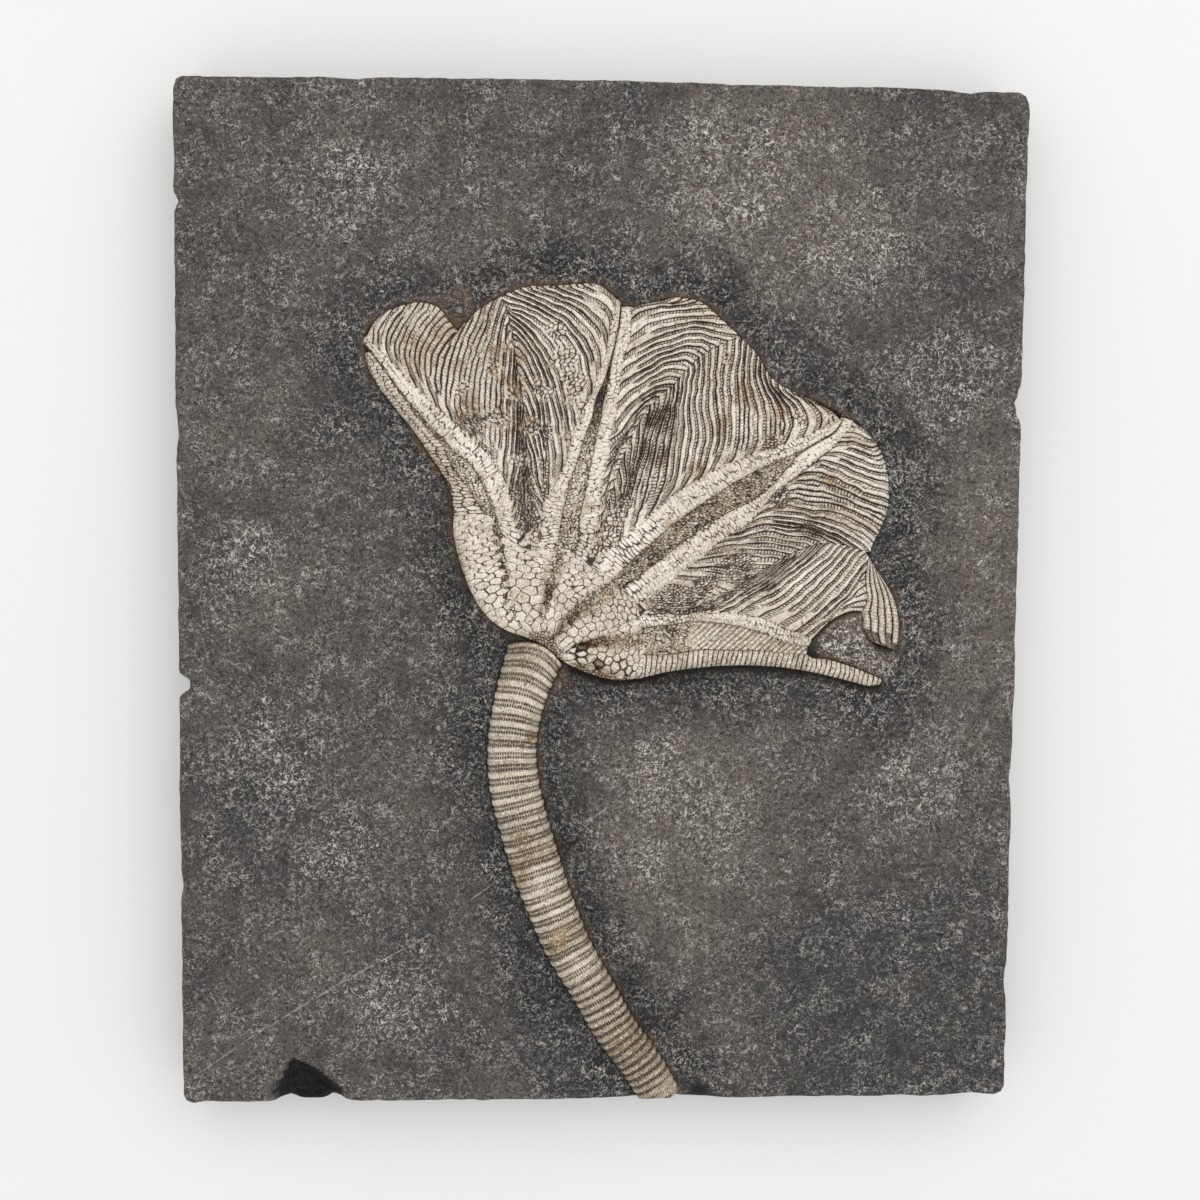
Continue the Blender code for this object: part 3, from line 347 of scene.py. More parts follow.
# ------------------------------------------------------------------ chance: noise, cells and patches
def smooth(t):
    """Smooth step: 3t² − 2t³ of t held between 0 and 1."""
    t = np.clip(t, 0, 1)
    return t * t * (3 - 2 * t)


def toss(i, j=0, seed=0):
    """A number from 0 to 1 for each pair of whole numbers, always the same: the fraction of a large sine."""
    wave = np.sin(np.asarray(i) * 12.9898 + np.asarray(j) * 78.233 + seed * 37.719)
    return np.mod(wave * 43758.5453, 1.0)


def drift(x, y, size, seed=0):
    """Smooth noise from −1 to 1: tossed numbers on a lattice of this size, blended with the smooth step."""
    u, v = np.asarray(x) / size + 0.37 * seed, np.asarray(y) / size
    i, j = np.floor(u), np.floor(v)
    a, b = smooth(u - i), smooth(v - j)
    low = toss(i, j, seed) * (1 - a) + toss(i + 1, j, seed) * a
    high = toss(i, j + 1, seed) * (1 - a) + toss(i + 1, j + 1, seed) * a
    return 2 * (low * (1 - b) + high * b) - 1


def waver(s, size, seed=0):
    """The same noise along a single direction."""
    return drift(s, 0 * s, size, seed)


def rough(x, y, size, seed=0):
    """Noise in three sizes: drift, and half as much of it at half the size, twice."""
    # Dark shale: grey with dark pits and a fine pale worm-like speckle, darker and bluer beside the fossil,
    # brown where earth clings, black where it is freshly chipped, with painted shadow along the fossil's
    # edge.
    return (drift(x, y, size, seed) + 0.5 * drift(x, y, size / 2.1, seed + 1)
            + 0.25 * drift(x, y, size / 4.3, seed + 2)) / 1.4


def cells(u, v, seed=0, jitter=0.8, stagger=0.0):
    """Cells round one tossed seed in each unit square, every other row moved by stagger. Gives the way to
    the nearest border between two cells, half the difference of the two nearest seeds' distances, and
    the cell's own tossed number."""
    row = np.floor(v)
    near, second, own = (np.full(np.shape(u), 9.0) for _ in range(3))
    for j in (row - 1, row, row + 1):
        shift = stagger * np.mod(j, 2)
        middle = np.floor(u - shift)
        for i in (middle - 1, middle, middle + 1):
            x = i + shift + 0.5 + jitter * (toss(i, j, seed) - 0.5)
            y = j + 0.5 + jitter * (toss(i, j, seed + 1) - 0.5)
            away = np.hypot(u - x, v - y)
            closer = away < near
            second = np.where(closer, near, np.minimum(second, away))
            own = np.where(closer, toss(i, j, seed + 2), own)
            near = np.where(closer, away, near)
    return (second - near) / 2, own


def patches(spots, x, y):
    """How far each point is inside a list of round spots (x, y, radius): 1 in a middle, 0 outside. Noise
    makes their edges ragged."""
    px, py = x + 1.6 * drift(x, y, 4, 5), y + 1.6 * drift(x, y, 4, 6)
    inside = [smooth(1.7 * (1 - np.hypot(px - cx, py - cy) / r)) for cx, cy, r in spots]
    return np.max(inside, axis=0)


# ------------------------------------------------------------------ shared lines, heights and stains
RIM = flow(OUTLINE, closed=True)
RIM_CHAIN = RIM[::5] if (len(RIM) - 1) % 5 == 0 else np.vstack((RIM[::5], RIM[-1:]))
CUP_LINE = flow(CUP_TOP)
WEBS = {"1_2": flow(WEB_1_2), "2_3": flow(WEB_2_3), "3_4": flow(WEB_3_4), "4_5": flow(WEB_4_5)}
FORKS = {2: flow(FORK_2), 3: flow(FORK_3), 4: flow(FORK_4)}
TIPS_LINE = flow(TIPS_SEAM)
STEM_LINE = flow(STEM)
CORNER_GAP = 2                # points of a line left out where it turns a corner into the next one
SEAM_END_GAP = 6
CUP_LINE_END = 40             # this many points of the line hold its crossing of the rim
ABOVE_CUP = beside(CUP_LINE, SEAM)
BELOW_CUP = beside(CUP_LINE, -SEAM)

# round patches of the crown: x, y, radius
GRAINY = (
    (-31.5, 43, 6), (-29, 36, 5), (-25, 30, 4), (40.6, 37.5, 5), (34, 8.4, 7), (26, 4, 5.5),
    (19, 0.5, 6), (13, -1, 5), (6, 25, 4), (43, 27, 4), (-18, 20, 6), (-18.5, 27, 5.5), (-14, 42, 3),
)
COMBED = (
    (4.4, 33.8, 6), (1.5, 26, 5), (3, 40, 4.5), (14.5, 45, 7), (11, 36, 6), (58, 27, 6),
    (41, 12, 9), (29, 9, 6.5), (50, 16, 6.5), (13, 28, 6), (-13, 33, 4), (-8, 30, 3),
)
SHADED = (
    (14, 45, 5), (13, 36, 3), (0.4, 49.4, 4.5), (1, 56, 3.5), (-38.5, 41.5, 3.5), (38.3, 56.8, 2.5),
    (-36.5, 66, 1.5), (46, 12.5, 2.5), (-25, 68, 3), (44, 50, 3), (42, 4, 3),
)
CRACKLED = (
    (0.5, 15, 5), (-1.5, 12, 3), (3, 20, 4), (-17.5, 15, 3), (9, -2, 3), (-10.5, 60, 5),
    (-7.5, 53, 5.5), (-4, 47, 3.5), (-12, 66, 3.5), (-20, 35, 3), (-35, 52, 3), (-22, 51, 4),
    (-26, 45, 4), (-15, 52, 3), (-24, 62, 2.5), (-27, 57, 2.5), (-19, 43, 3), (-8, 40, 3),
    (47, 45, 2.5), (30, 60, 2.5),
)
RUSTY = (
    (-34.9, 58.2, 3), (-22.4, 53.5, 5), (-20.5, 44, 4), (34, 50.5, 5), (30, 44, 3), (-21, 60, 3.5),
    (-26, 60, 4), (17, 19, 3), (-3, 24, 2.5), (24, 33, 3), (42, 47, 3), (-30, 30, 2.5), (55, 31, 3),
    (-45, 60, 8), (-38, 66, 5), (-33, 48, 4),
)
CUP_BROKEN = ((-5.5, -11.5, 3.5), (0, -14.5, 3.5), (5, -16.5, 3.5), (10, -17, 3))
CUP_BROWN = ((-1, -10.5, 5), (-12.5, 3, 3), (6, -12, 5), (-36, 3, 3), (-33, 18, 3), (2, 1, 2))
# of the column
STEM_BROKEN = ((-17.1, -32.3, 1.7), (-11.5, -86.5, 2), (22.8, -123.5, 2))
STEM_WORN = ((17, -121.5, 5.5), (-22.4, -72, 4), (-9.5, -83, 4.2))
STEM_RUSTY = ((-22.4, -68.3, 7), (-19, -60, 5), (-17.1, -32.3, 2.4), (-20, -78, 5), (-9.5, -83, 5))


def skin_level(x, y):
    """Height of the crown's skin: a swell over the cup that fades with distance, turned down at the rim."""
    away = np.hypot(x - CUP_MIDDLE[0], y - CUP_MIDDLE[1]) / CUP_SPREAD
    rim = np.exp(-distance_to(RIM_CHAIN, x, y) / RIM_ROUNDING_REACH)
    return RIM_LEVEL + CUP_RISE * np.exp(-away**2) - RIM_ROUNDING * rim


# ------------------------------------------------------------------ from points to pieces
def add(name, data):
    """A new object of the scene that holds the data."""
    made = bpy.data.objects.new(name, data)
    bpy.context.scene.collection.objects.link(made)
    return made


def put(name, node, vertices, faces, smooth_faces, finish, marks):
    """A mesh piece from points in millimetres and lists of faces. It stands for a node of the frame, with
    the slot's finish, and the marks go in as a number on each point."""
    mesh = bpy.data.meshes.new(name)
    corners = np.concatenate([np.ravel(f) for f in faces]).astype(np.int32)
    sizes = np.concatenate([np.full(len(f), np.shape(f)[1]) for f in faces])
    mesh.vertices.add(len(vertices))
    mesh.loops.add(len(corners))
    mesh.polygons.add(len(sizes))
    metres = (vertices - np.array((0.0, TOP_EDGE_BOW / 2, 0.0))) * MM
    mesh.vertices.foreach_set("co", metres.astype(np.float32).ravel())
    mesh.loops.foreach_set("vertex_index", corners)
    mesh.polygons.foreach_set("loop_start", (np.cumsum(sizes) - sizes).astype(np.int32))
    mesh.update(calc_edges=True)
    mesh.polygons.foreach_set("use_smooth", np.arange(len(sizes)) < smooth_faces)
    for mark, values in marks.items():
        mesh.attributes.new(mark, "FLOAT", "POINT").data.foreach_set("value", values.astype(np.float32))
    mesh.materials.append(finish)
    mesh.validate()
    made = add(name, mesh)
    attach(made, "root")
    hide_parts(node)
    return made


def grid_faces(rows, columns):
    """The faces of a grid of points, and its border's points in their order round it."""
    index = np.arange(rows * columns).reshape(rows, columns)
    faces = np.stack((index[:-1, :-1], index[1:, :-1], index[1:, 1:], index[:-1, 1:]), axis=-1)
    border = np.concatenate((index[0, :-1], index[:-1, -1], index[-1, :0:-1], index[:0:-1, 0]))
    return faces.reshape(-1, 4), border


def wall_faces(belts):
    """The faces between closed rings of points, each ring joined to the one below it."""
    after = np.roll(belts, -1, axis=1)
    return np.stack((belts[:-1], after[:-1], after[1:], belts[1:]), axis=-1).reshape(-1, 4)


def embedded(node, top, marks, finish):
    """A closed body: the grid of top points, walls straight down from its border to the bed inside the
    rock, and a flat underside."""
    step, run = top[1:, :-1] - top[:-1, :-1], top[:-1, 1:] - top[:-1, :-1]
    if (step[..., 0] * run[..., 1] - step[..., 1] * run[..., 0]).sum() < 0:
        top = top[:, ::-1]
        marks = {mark: values[:, ::-1] for mark, values in marks.items()}
    faces, border = grid_faces(*top.shape[:2])
    vertices = top.reshape(-1, 3)
    foot = vertices[border].copy()
    foot[:, 2] = BEDDED
    below = len(vertices) + np.arange(len(border))
    faces = (faces, wall_faces(np.stack((border, below))), below[None])
    marks = {mark: np.append(values.ravel(), values.ravel()[border]) for mark, values in marks.items()}
    return put(node + "_carved", node, np.vstack((vertices, foot)), faces, len(faces[0]), finish, marks)


def on_skin(xy, lift):
    """Points on the crown's skin, lifted. Above a certain height they are drawn down gently."""
    z = skin_level(xy[..., 0], xy[..., 1]) + lift
    calm = CALM_HEIGHT + CALM_ROOM * np.tanh((z - CALM_HEIGHT) / CALM_ROOM)
    return np.dstack((xy, np.where(z > CALM_HEIGHT, calm, z)))


def strides(xy, axis):
    """How far each point of a sheet is from the one before it along that axis."""
    before = np.take(xy, [0], axis=axis)
    return np.hypot(*np.moveaxis(np.diff(xy, axis=axis, prepend=before), 2, 0))


def shaken(xy, amount, size, seed, edge=1.5):
    """The sheet's points moved sideways by smooth noise, which fades to nothing at the sheet's border."""
    def reach(step):
        there = np.cumsum(step, axis=1)
        return np.minimum(there, there[:, -1:] - there)
    x, y = xy[..., 0], xy[..., 1]
    calm = smooth(np.minimum(reach(strides(xy, 1)), reach(strides(xy, 0).T).T) / edge)
    return xy + amount * calm[..., None] * np.dstack((drift(x, y, size, seed), drift(x, y, size, seed + 1)))


# ------------------------------------------------------------------ arms
TRUNK_STEPS = 0.5 - 0.5 * np.cos(np.linspace(0, math.pi, 21))[:-1]     # across the trunk, from the web
CUP_PLACES = np.array((0.78, 0.86, 0.93, 1.0))       # the guide points of the column along the cup
COLUMNS_A_ARMLET = 8
FAN_ROWS = 230
BARE_ARM_ROWS = 44
BARE_ARM_STEP = 0.19
ROWS_A_LOOSE_ARMLET = 14
WEB_ROWS = 37
WEB_STEP = 0.2


def arm_map(web_side, seam, guides, columns, narrower):
    """The arm's sheet as a function of two parameters: along the arm and across it. At each column the
    sheet crosses the trunk in a straight line from the web edge to the armlets' start, then follows a
    cubic through the armlet's four guide points. The first column lies along the cup's top. narrower is
    how much narrower the armlets are at the arm's tip. Also gives the way gone along the arm, 0 to 1, and
    the trunk's foot on the cup's top."""
    cup_a = place_on(ABOVE_CUP, meet(ABOVE_CUP, web_side))[0]
    cup_b = place_on(ABOVE_CUP, meet(ABOVE_CUP, seam))[0]
    first = along(ABOVE_CUP, cup_a + (cup_b - cup_a) * CUP_PLACES)
    guide = np.concatenate((first[None], np.array(guides)))
    outer = np.concatenate((place_on(web_side, along(ABOVE_CUP, cup_a)),
                            place_on(web_side, guide[1:, 0])))
    tips = place_on(seam, guide[:, 3])
    fine = np.linspace(0, len(guide) - 1, 40 * len(guide))
    gone = lengths(glide((guide[:, 0] + guide[:, 1] + guide[:, 2]) / 3, fine))
    gone /= gone[-1]
    wide = sum(lengths(glide(guide[:, k], fine)) for k in range(3))
    wide = wide + lengths(along(seam, glide(tips, fine)))
    pace = np.cumsum(np.diff(wide, prepend=0.0) * (1 + narrower * gone))
    u = np.interp(np.linspace(0, pace[-1], columns), pace, fine)
    rim_side = along(web_side, glide(outer, u))
    start, near, far = (glide(guide[:, k], u) for k in range(3))
    tip = along(seam, glide(tips, u))
    foot = along(ABOVE_CUP, cup_a + (cup_b - cup_a) * CUP_PLACES[0] * TRUNK_STEPS)
    return (rim_side, start, near, far, tip), np.interp(u, fine, gone), foot


def arm_grid(lines, trunk_steps, fan_steps):
    """Points of the sheet: rows across the trunk, then rows along the armlets."""
    rim_side, start, near, far, tip = lines
    t, v = trunk_steps[:, None, None], fan_steps[:, None, None]
    a = -4.5 * (v - 1 / 3) * (v - 2 / 3) * (v - 1)
    b = 13.5 * v * (v - 2 / 3) * (v - 1)
    c = -13.5 * v * (v - 1 / 3) * (v - 1)
    d = 4.5 * v * (v - 1 / 3) * (v - 2 / 3)
    return np.concatenate((rim_side + (start - rim_side) * t, a * start + b * near + c * far + d * tip))


def crest_at(gone):
    """Height of the trunk's crest: high at the cup, lower at the arm's tip."""
    return TRUNK_TIP_HEIGHT + (TRUNK_HEIGHT - TRUNK_TIP_HEIGHT) * (1 - gone) ** TRUNK_TAPER


def half_round(t):
    """Profile across a trunk: half an ellipse, from 0 through 1 to 0."""
    return np.sqrt(np.clip(4 * t * (1 - t), 0, 1))


def nearness(way):
    """How near a joint's middle line is: 1 on it, falling evenly to 0."""
    return np.clip(1 - way / LINE_REACH, 0, 1)


def bead_rise(phase, bluntness):
    """A row of beads, each from one whole number of phase to the next: 0 between two, 1 on top of one."""
    return 1 - np.abs(2 * np.mod(phase, 1.0) - 1) ** bluntness


def plate_rise(way):
    """How high a trunk's plate stands at this way from its joint, level but for its rounded border."""
    return 0.5 * (np.minimum(way, PLATE_ROUNDING) - 0.25)


def paved(t, run, seed, ladder=False):
    """The trunk's plates: two columns of bricks in zig-zag across t, or a ladder of whole rings. Gives the
    way to the nearest joint in millimetres, and the brick's own number."""
    if ladder:
        place = run / RING_PITCH + 0.35 * waver(run, 5, seed) + 0.5 * t * (1 - t)
        place = place + 0.12 * drift(t * 3, run, 1.5, seed)
        off = np.abs(place - np.floor(place) - 0.5)
        return RING_PITCH * (0.5 - off), toss(np.floor(place), 0, seed)
    wide = 2 * t + 0.2 * waver(run, 2.5, seed)
    border, own = cells(run + 0.1 * drift(t * 4, run, 1.5, seed), wide, seed, 0.55, 0.5)
    return border * (1.45 + 0.6 * smooth((run - 10) / 18)), own


def armlet_profile(f, share):
    """Across one armlet's place from 0 to 1: a half-round ridge up to its share, then a lower row of
    beads."""
    ridge = 1 - (2 * f / share - 1) ** 2
    beads = 1 - ((2 * f - 1 - share) / (1 - share)) ** 2
    return np.maximum(np.sqrt(np.clip(ridge, 0, 1)), 0.45 * np.sqrt(np.clip(beads, 0, 1)))


def bead_row(f, share):
    """Where the row of beads lies across an armlet's place: 1 inside it, 0 at its two borders."""
    return np.clip(np.minimum(f - share, 1 - f) / 0.125, 0, 1)


def joint_way(f, share):
    """The way to the nearest joint across an armlet's place: at 0 and 1, and a finer one at the share."""
    return np.minimum(np.minimum(f, 1 - f), 1.6 * np.abs(f - share) + 0.045)


def fan(node, web_side, seam, guides, armlets, narrower, turned, seed, finish):
    """An arm with its fan of armlets. Across the trunk the profile is half an ellipse that ends at the
    armlets' foot. Each armlet is a half-round ridge with a row of beads beside it. Near the trunk they
    come in twos, as one ridge, and where there is room each is forked into two. In combed patches beads
    cover the ridges as slanting teeth, and in grainy or crackled ones the ridges break up into cells."""
    columns = armlets * COLUMNS_A_ARMLET + 1
    lines, gone, trunk_foot = arm_map(web_side, seam, guides, columns, narrower)
    xy = arm_grid(lines, TRUNK_STEPS, np.linspace(0, 1, FAN_ROWS))
    trunk_rows = len(TRUNK_STEPS)
    to_foot = (trunk_foot - xy[:trunk_rows, 0])[:, None]
    xy[:trunk_rows] += to_foot * smooth(1 - gone / 0.12)[None, :, None]
    xy = shaken(shaken(xy, 0.45, 6, seed), 0.2, 2.0, seed + 2)
    x, y = xy[..., 0], xy[..., 1]
    step, onward = np.gradient(xy, axis=1), np.gradient(xy, axis=0)
    wide = COLUMNS_A_ARMLET * np.abs(step[..., 0] * onward[..., 1] - step[..., 1] * onward[..., 0])
    wide = wide / np.maximum(np.hypot(onward[..., 0], onward[..., 1]), 1e-6)
    run = np.cumsum(strides(xy, 0), axis=0)
    left = run[-1:] - run
    run = run - run[trunk_rows:trunk_rows + 1]
    up_arm = lengths((lines[0] + lines[1]) / 2)[None] + 0 * run
    across = np.append(TRUNK_STEPS, np.ones(FAN_ROWS))[:, None] + 0 * run

    # which armlet each point is on, its place f across that, and its place across a pair of them
    place = np.arange(columns)[None] / COLUMNS_A_ARMLET + 0 * run
    number = np.clip(np.floor(place) if turned else np.ceil(place) - 1, 0, armlets - 1)
    f, two = place - number, np.mod(place / 2, 1)
    edge = number + (f > 0.5)
    f, two = (1 - f, 1 - two) if turned else (f, two)
    combed, shaded, crackled = (patches(spots, x, y) for spots in (COMBED, SHADED, CRACKLED))
    grainy = np.maximum(patches(GRAINY, x, y), 1 - smooth((wide - 0.35) / 0.4))
    single = smooth((run - 1.5 - 5 * toss(np.floor(place / 2), 12, seed)) / 3 + 2 * (wide - 1.5))
    forked = smooth((wide - 1.9) / 0.5 + 0.6 * (toss(number, 10, seed) - 0.5))
    half = np.mod(2 * f, 1)

    def at_each(shape, of_half, twice=1):
        """A shape across the armlets: for one, for two that run as one, and for one forked in half."""
        narrow, broad = (shape(f, share) * single + twice * shape(two, share) * (1 - single)
                         for share in (3 / 8, 5 / 8))
        joined = narrow * combed + broad * (1 - combed)
        return joined + (of_half - joined) * forked

    ridge = at_each(armlet_profile, np.sqrt(4 * half * (1 - half)))
    row = at_each(bead_row, 0.3)
    way = wide * at_each(joint_way, np.minimum(half, 1 - half) / 2, 2)
    thin = 0.95 + 0.9 * toss(edge, 1, seed) ** 2 + 0.6 * drift(run, edge * 7.3, 3.5, seed + 4)
    way = way / (thin + 0.6 * shaded)
    bite = np.clip(0.8 + 0.45 * drift(run, edge * 5.1, 7, seed + 5), 0.3, 1.15)
    pitch = 0.74 + 0.14 * toss(number, 2, seed)
    phase = run / pitch + toss(number, 3, seed) + 0.25 * drift(run, number * 3.1, 3, seed)
    phase = phase + 1.2 * combed * f
    bead = bead_rise(phase, 2.5)
    rise = 1 + 0.35 * (toss(number, 4, seed) - 0.5) + 0.25 * drift(run, number * 3.7, 5, seed + 6)
    grain, grain_own = cells(x / 0.8 + 0.4 * drift(x, y, 1.5, seed), y / 0.65, seed + 7, 0.9)
    chunk, chunk_own = cells(x / 1.2 + 0.3 * drift(x, y, 2, seed), y / 1.1, seed + 8, 0.95)

    # the armlets, with cells in their place in the grainy and the crackled patches
    strand = -ARMLET_HEIGHT * bite + ARMLET_HEIGHT * (1 + bite) * rise * ridge
    strand = strand - 0.2 * (1 - bead) * (0.2 + row)
    furrow = (1 - ridge) ** 2 * bite * (0.3 + 0.4 * shaded) + 0.1 * row * (1 - bead)
    furrow = furrow + 0.12 * combed * row
    crumbs = 0.75 * np.minimum(grain, 0.35) + 0.25 * drift(x, y, 2.2, seed + 9) - 0.1
    tiles = 0.5 * np.minimum(chunk, 0.3) + 0.2 * drift(x, y, 3, seed + 9) + 0.1
    for zone, height, dark, to_joint in (
            (grainy, crumbs, 0.25 * smooth(1 - grain / 0.16), 0.9 * grain),
            (crackled, tiles, 0.2 * smooth(1 - chunk / 0.12), 1.35 * chunk)):
        strand = strand + 0.85 * zone * (height - strand)
        furrow = furrow + 0.9 * zone * (dark - furrow)
        way = way + zone * (to_joint - way)
        row = row * (1 - zone)

    # the trunk, out of which they are born
    born = smooth((run + 0.9 + 0.5 * toss(number, 6, seed)) / 1.9) * smooth(up_arm / 3)
    crest = crest_at(gone)[None]
    trunk = half_round(across * (1 - TRUNK_FOOT**2 / 4)) * crest
    foot = TRUNK_FOOT * crest * np.exp(-np.maximum(run, 0) / TRUNK_FOOT_REACH)
    base = np.where(across < 1, trunk, foot)
    to_joint, brick = paved(across, up_arm, seed + 11)
    bare = (1 - born) * smooth(crest * half_round(across) / 0.5)
    lift = base + born * strand + plate_rise(to_joint) * bare - 0.12 * np.exp(-left / 0.4) * born
    lift += 0.06 * rough(x, y, 3, seed + 13)
    way = np.where(born > 0.5, way, to_joint / (0.75 + 0.5 * drift(x, y, 6, seed + 16)))

    furrow = born * furrow + 0.25 * smooth(1 - to_joint / 0.2) * bare + 0.2 * np.exp(-left / 0.2) * born
    furrow = np.maximum(furrow, 0.5 * smooth(1 - across / 0.05) * (across < 1))
    stain = patches(RUSTY, x, y)
    veil = smooth(1.6 * drift(x, y, 8, seed + 14) - 0.35) * (0.1 + furrow) * 0.5
    tone = 0.06 + 0.5 * (toss(number, 8, seed) - 0.5) * born + 0.35 * rough(x, y, 9, seed + 15)
    tone = tone - 0.35 * shaded - 0.3 * stain
    tone += (0.6 * (grain_own - 0.4) * grainy + 0.7 * (chunk_own - 0.3) * crackled
             + 0.35 * bare * (1 + 0.5 * brick))
    # painted highlight and shade: the ridge term makes the armlets' crests paler and their flanks duller, as
    # light on round ridges would
    tone += (0.3 * np.exp(-up_arm / 5) * bare
             + 0.9 * (smooth(1.5 * ridge) - 0.6) * born * (1 - grainy) * (1 - crackled) * (1 - 0.6 * combed))
    marks = {"furrow": furrow, "ochre": stain * (0.5 + furrow) + veil, "tone": tone,
             "line": nearness(way), "beads": phase, "row": born * (0.3 + 0.7 * row)}
    return embedded(node, on_skin(xy, lift), marks, finish)


def ruled(one_side, other_side, across, steps):
    """Points of the straight-ruled sheet between two lines, each line divided evenly."""
    a = along(one_side, np.linspace(0, lengths(one_side)[-1], steps))
    b = along(other_side, np.linspace(0, lengths(other_side)[-1], steps))
    return a[None] + (b - a)[None] * across[:, None, None]


def bare_arm(node, one_side, other_side, seed, finish, ladder=False):
    """An arm without a fan: half an ellipse between two lines, paved with plates."""
    across = 0.5 - 0.5 * np.cos(np.linspace(0, math.pi, BARE_ARM_ROWS))
    steps = round(lengths(one_side)[-1] / BARE_ARM_STEP)
    xy = shaken(ruled(one_side, other_side, across, steps), 0.2, 5, seed)
    x, y = xy[..., 0], xy[..., 1]
    run = lengths(xy[BARE_ARM_ROWS // 2])[None] + 0 * x
    t = across[:, None] + 0 * x
    way, brick = paved(t, run, seed, ladder)
    profile = half_round(t)
    gone = run / run[:, -1:]
    bump = 0.12 * rough(x, y, 4, seed + 2)
    lift = profile * (crest_at(gone) + bump) + plate_rise(way) * smooth(profile / 0.4)
    furrow = 0.25 * smooth(1 - way / 0.2) + 0.4 * smooth(1 - profile / 0.25)
    ochre = smooth(1.7 * drift(x, y, 7, seed + 3) - 0.1) * (0.15 + furrow) + 0.5 * smooth(1 - profile / 0.35)
    tone = 0.4 * (brick - 0.5) + 0.35 * rough(x, y, 8, seed + 4) + 0.45 * np.exp(-run / 6)
    marks = {"furrow": furrow, "ochre": ochre, "tone": tone, "line": nearness(way)}
    return embedded(node, on_skin(xy, lift), marks, finish)


def loose_armlets(node, one_side, other_side, armlets, seed, finish):
    """A bundle of beaded armlets side by side between two lines, each a half-round ridge."""
    across = np.linspace(0, 1, armlets * ROWS_A_LOOSE_ARMLET + 1)
    xy = shaken(ruled(one_side, other_side, across, 150), 0.2, 4, seed)
    x, y = xy[..., 0], xy[..., 1]
    run = lengths(xy[len(xy) // 2])[None] + 0 * x
    place = across[:, None] * armlets + 0 * x
    number = np.minimum(np.floor(place), armlets - 1)
    off = np.abs(2 * (place - number) - 1)
    ridge = np.sqrt(1 - np.clip(off / 0.86, 0, 1) ** 2)
    phase = run / 0.8 + toss(number, 3, seed)
    way = (0.5 - np.abs(place - number - 0.5)) * 1.8
    lift = ARMLET_HEIGHT * (2 * ridge - 1) - 0.16 * (1 - bead_rise(phase, 4)) * ridge
    ended = smooth((run - run[:, -1:] + 0.6 + 5 * toss(number, 9, seed)) / 0.7)
    lift = lift - ended * (0.9 + lift)
    furrow = 0.6 * (1 - ridge) ** 2 * (1 - ended) + 0.5 * ended
    tone = 0.4 * (toss(number, 1, seed) - 0.5) + 0.3 * rough(x, y, 6, seed + 1) - ended
    row = (0.3 + 0.5 * bead_row(place - number, 5 / 8)) * (1 - ended)
    marks = {"furrow": furrow, "ochre": smooth(1.5 * drift(x, y, 6, seed + 2)) * furrow, "tone": tone,
             "line": nearness(way), "beads": phase, "row": row}
    return embedded(node, on_skin(xy, lift), marks, finish)


def web(node, line, seed, finish):
    """Skin between two rays: a strip as wide as the web, lying low, crowded with small plates like
    grains and worms. In its narrow upper end it is smooth dark rock."""
    steps = round(lengths(line)[-1] / WEB_STEP)
    sides = []
    for side in (-1, 1):
        edge = web_edge(line, side, SEAM)
        cup_end = place_on(edge, meet(edge, ABOVE_CUP))[0]
        sides.append(along(edge, np.linspace(0, cup_end, steps)))
    across = np.linspace(0, 1, WEB_ROWS)
    xy = sides[0][None] + (sides[1] - sides[0])[None] * across[:, None, None]
    x, y = xy[..., 0], xy[..., 1]
    bend_x = x + 0.5 * drift(x, y, 1.7, seed)
    bend_y = y + 0.5 * drift(x, y, 1.7, seed + 1)
    border, own = cells(bend_x + 0.5 * drift(x, y, 2.4, seed + 2), bend_y / 0.62, seed, 0.95)
    dark = patches(SHADED, x, y)
    if node == "web_2_3":
        dark = np.maximum(dark, 0.8 * smooth((y - 36) / 12) * smooth(0.8 + drift(x, y, 5, seed + 7)))
    grains = np.minimum(border, 0.3) * (0.6 + 0.8 * own)
    lift = -WEB_SINK + 0.18 * rough(x, y, 3, seed + 3) + grains * (1 - 0.7 * dark)
    furrow = 0.6 * smooth(1 - border / 0.17)
    combs = 0 * x
    if node == "web_4_5":      # its outer part is combed by slanting ridges with teeth
        combs = smooth((x - 20) / 5)
        place = (0.72 * y - 0.69 * x) / 1.12 + 0.25 * drift(x, y, 4, seed)
        slant = 0.5 + 0.5 * np.cos(2 * math.pi * place)
        gap = 1 - bead_rise((0.69 * y + 0.72 * x) / 0.7, 4)
        lift = lift * (1 - combs) + (0.45 * slant - 0.12 * gap - WEB_SINK) * combs
        furrow = furrow * (1 - combs) + (0.7 * (1 - slant) ** 3 + 0.3 * gap) * combs
    rim = smooth(1 - np.minimum(across, 1 - across)[:, None] / 0.06 + 0 * x)
    furrow = np.maximum(np.maximum(furrow, 0.5 * rim), 0.8 * dark * (node == "web_2_3"))
    tone = 1.2 * (own - (0.7 if node == "web_3_4" else 0.25)) + 0.3 * rough(x, y, 6, seed + 4) - 1.5 * dark
    ochre = smooth(1.5 * drift(x, y, 5, seed + 5) - 0.3) * (0.15 + 0.4 * furrow)
    way = 0.95 * border * (1.1 + 0.5 * drift(x, y, 2.5, seed + 6)) + 0.05
    marks = {"furrow": furrow, "ochre": ochre, "tone": tone, "line": nearness(way) * (1 - combs)}
    return embedded(node, on_skin(xy, lift), marks, finish)


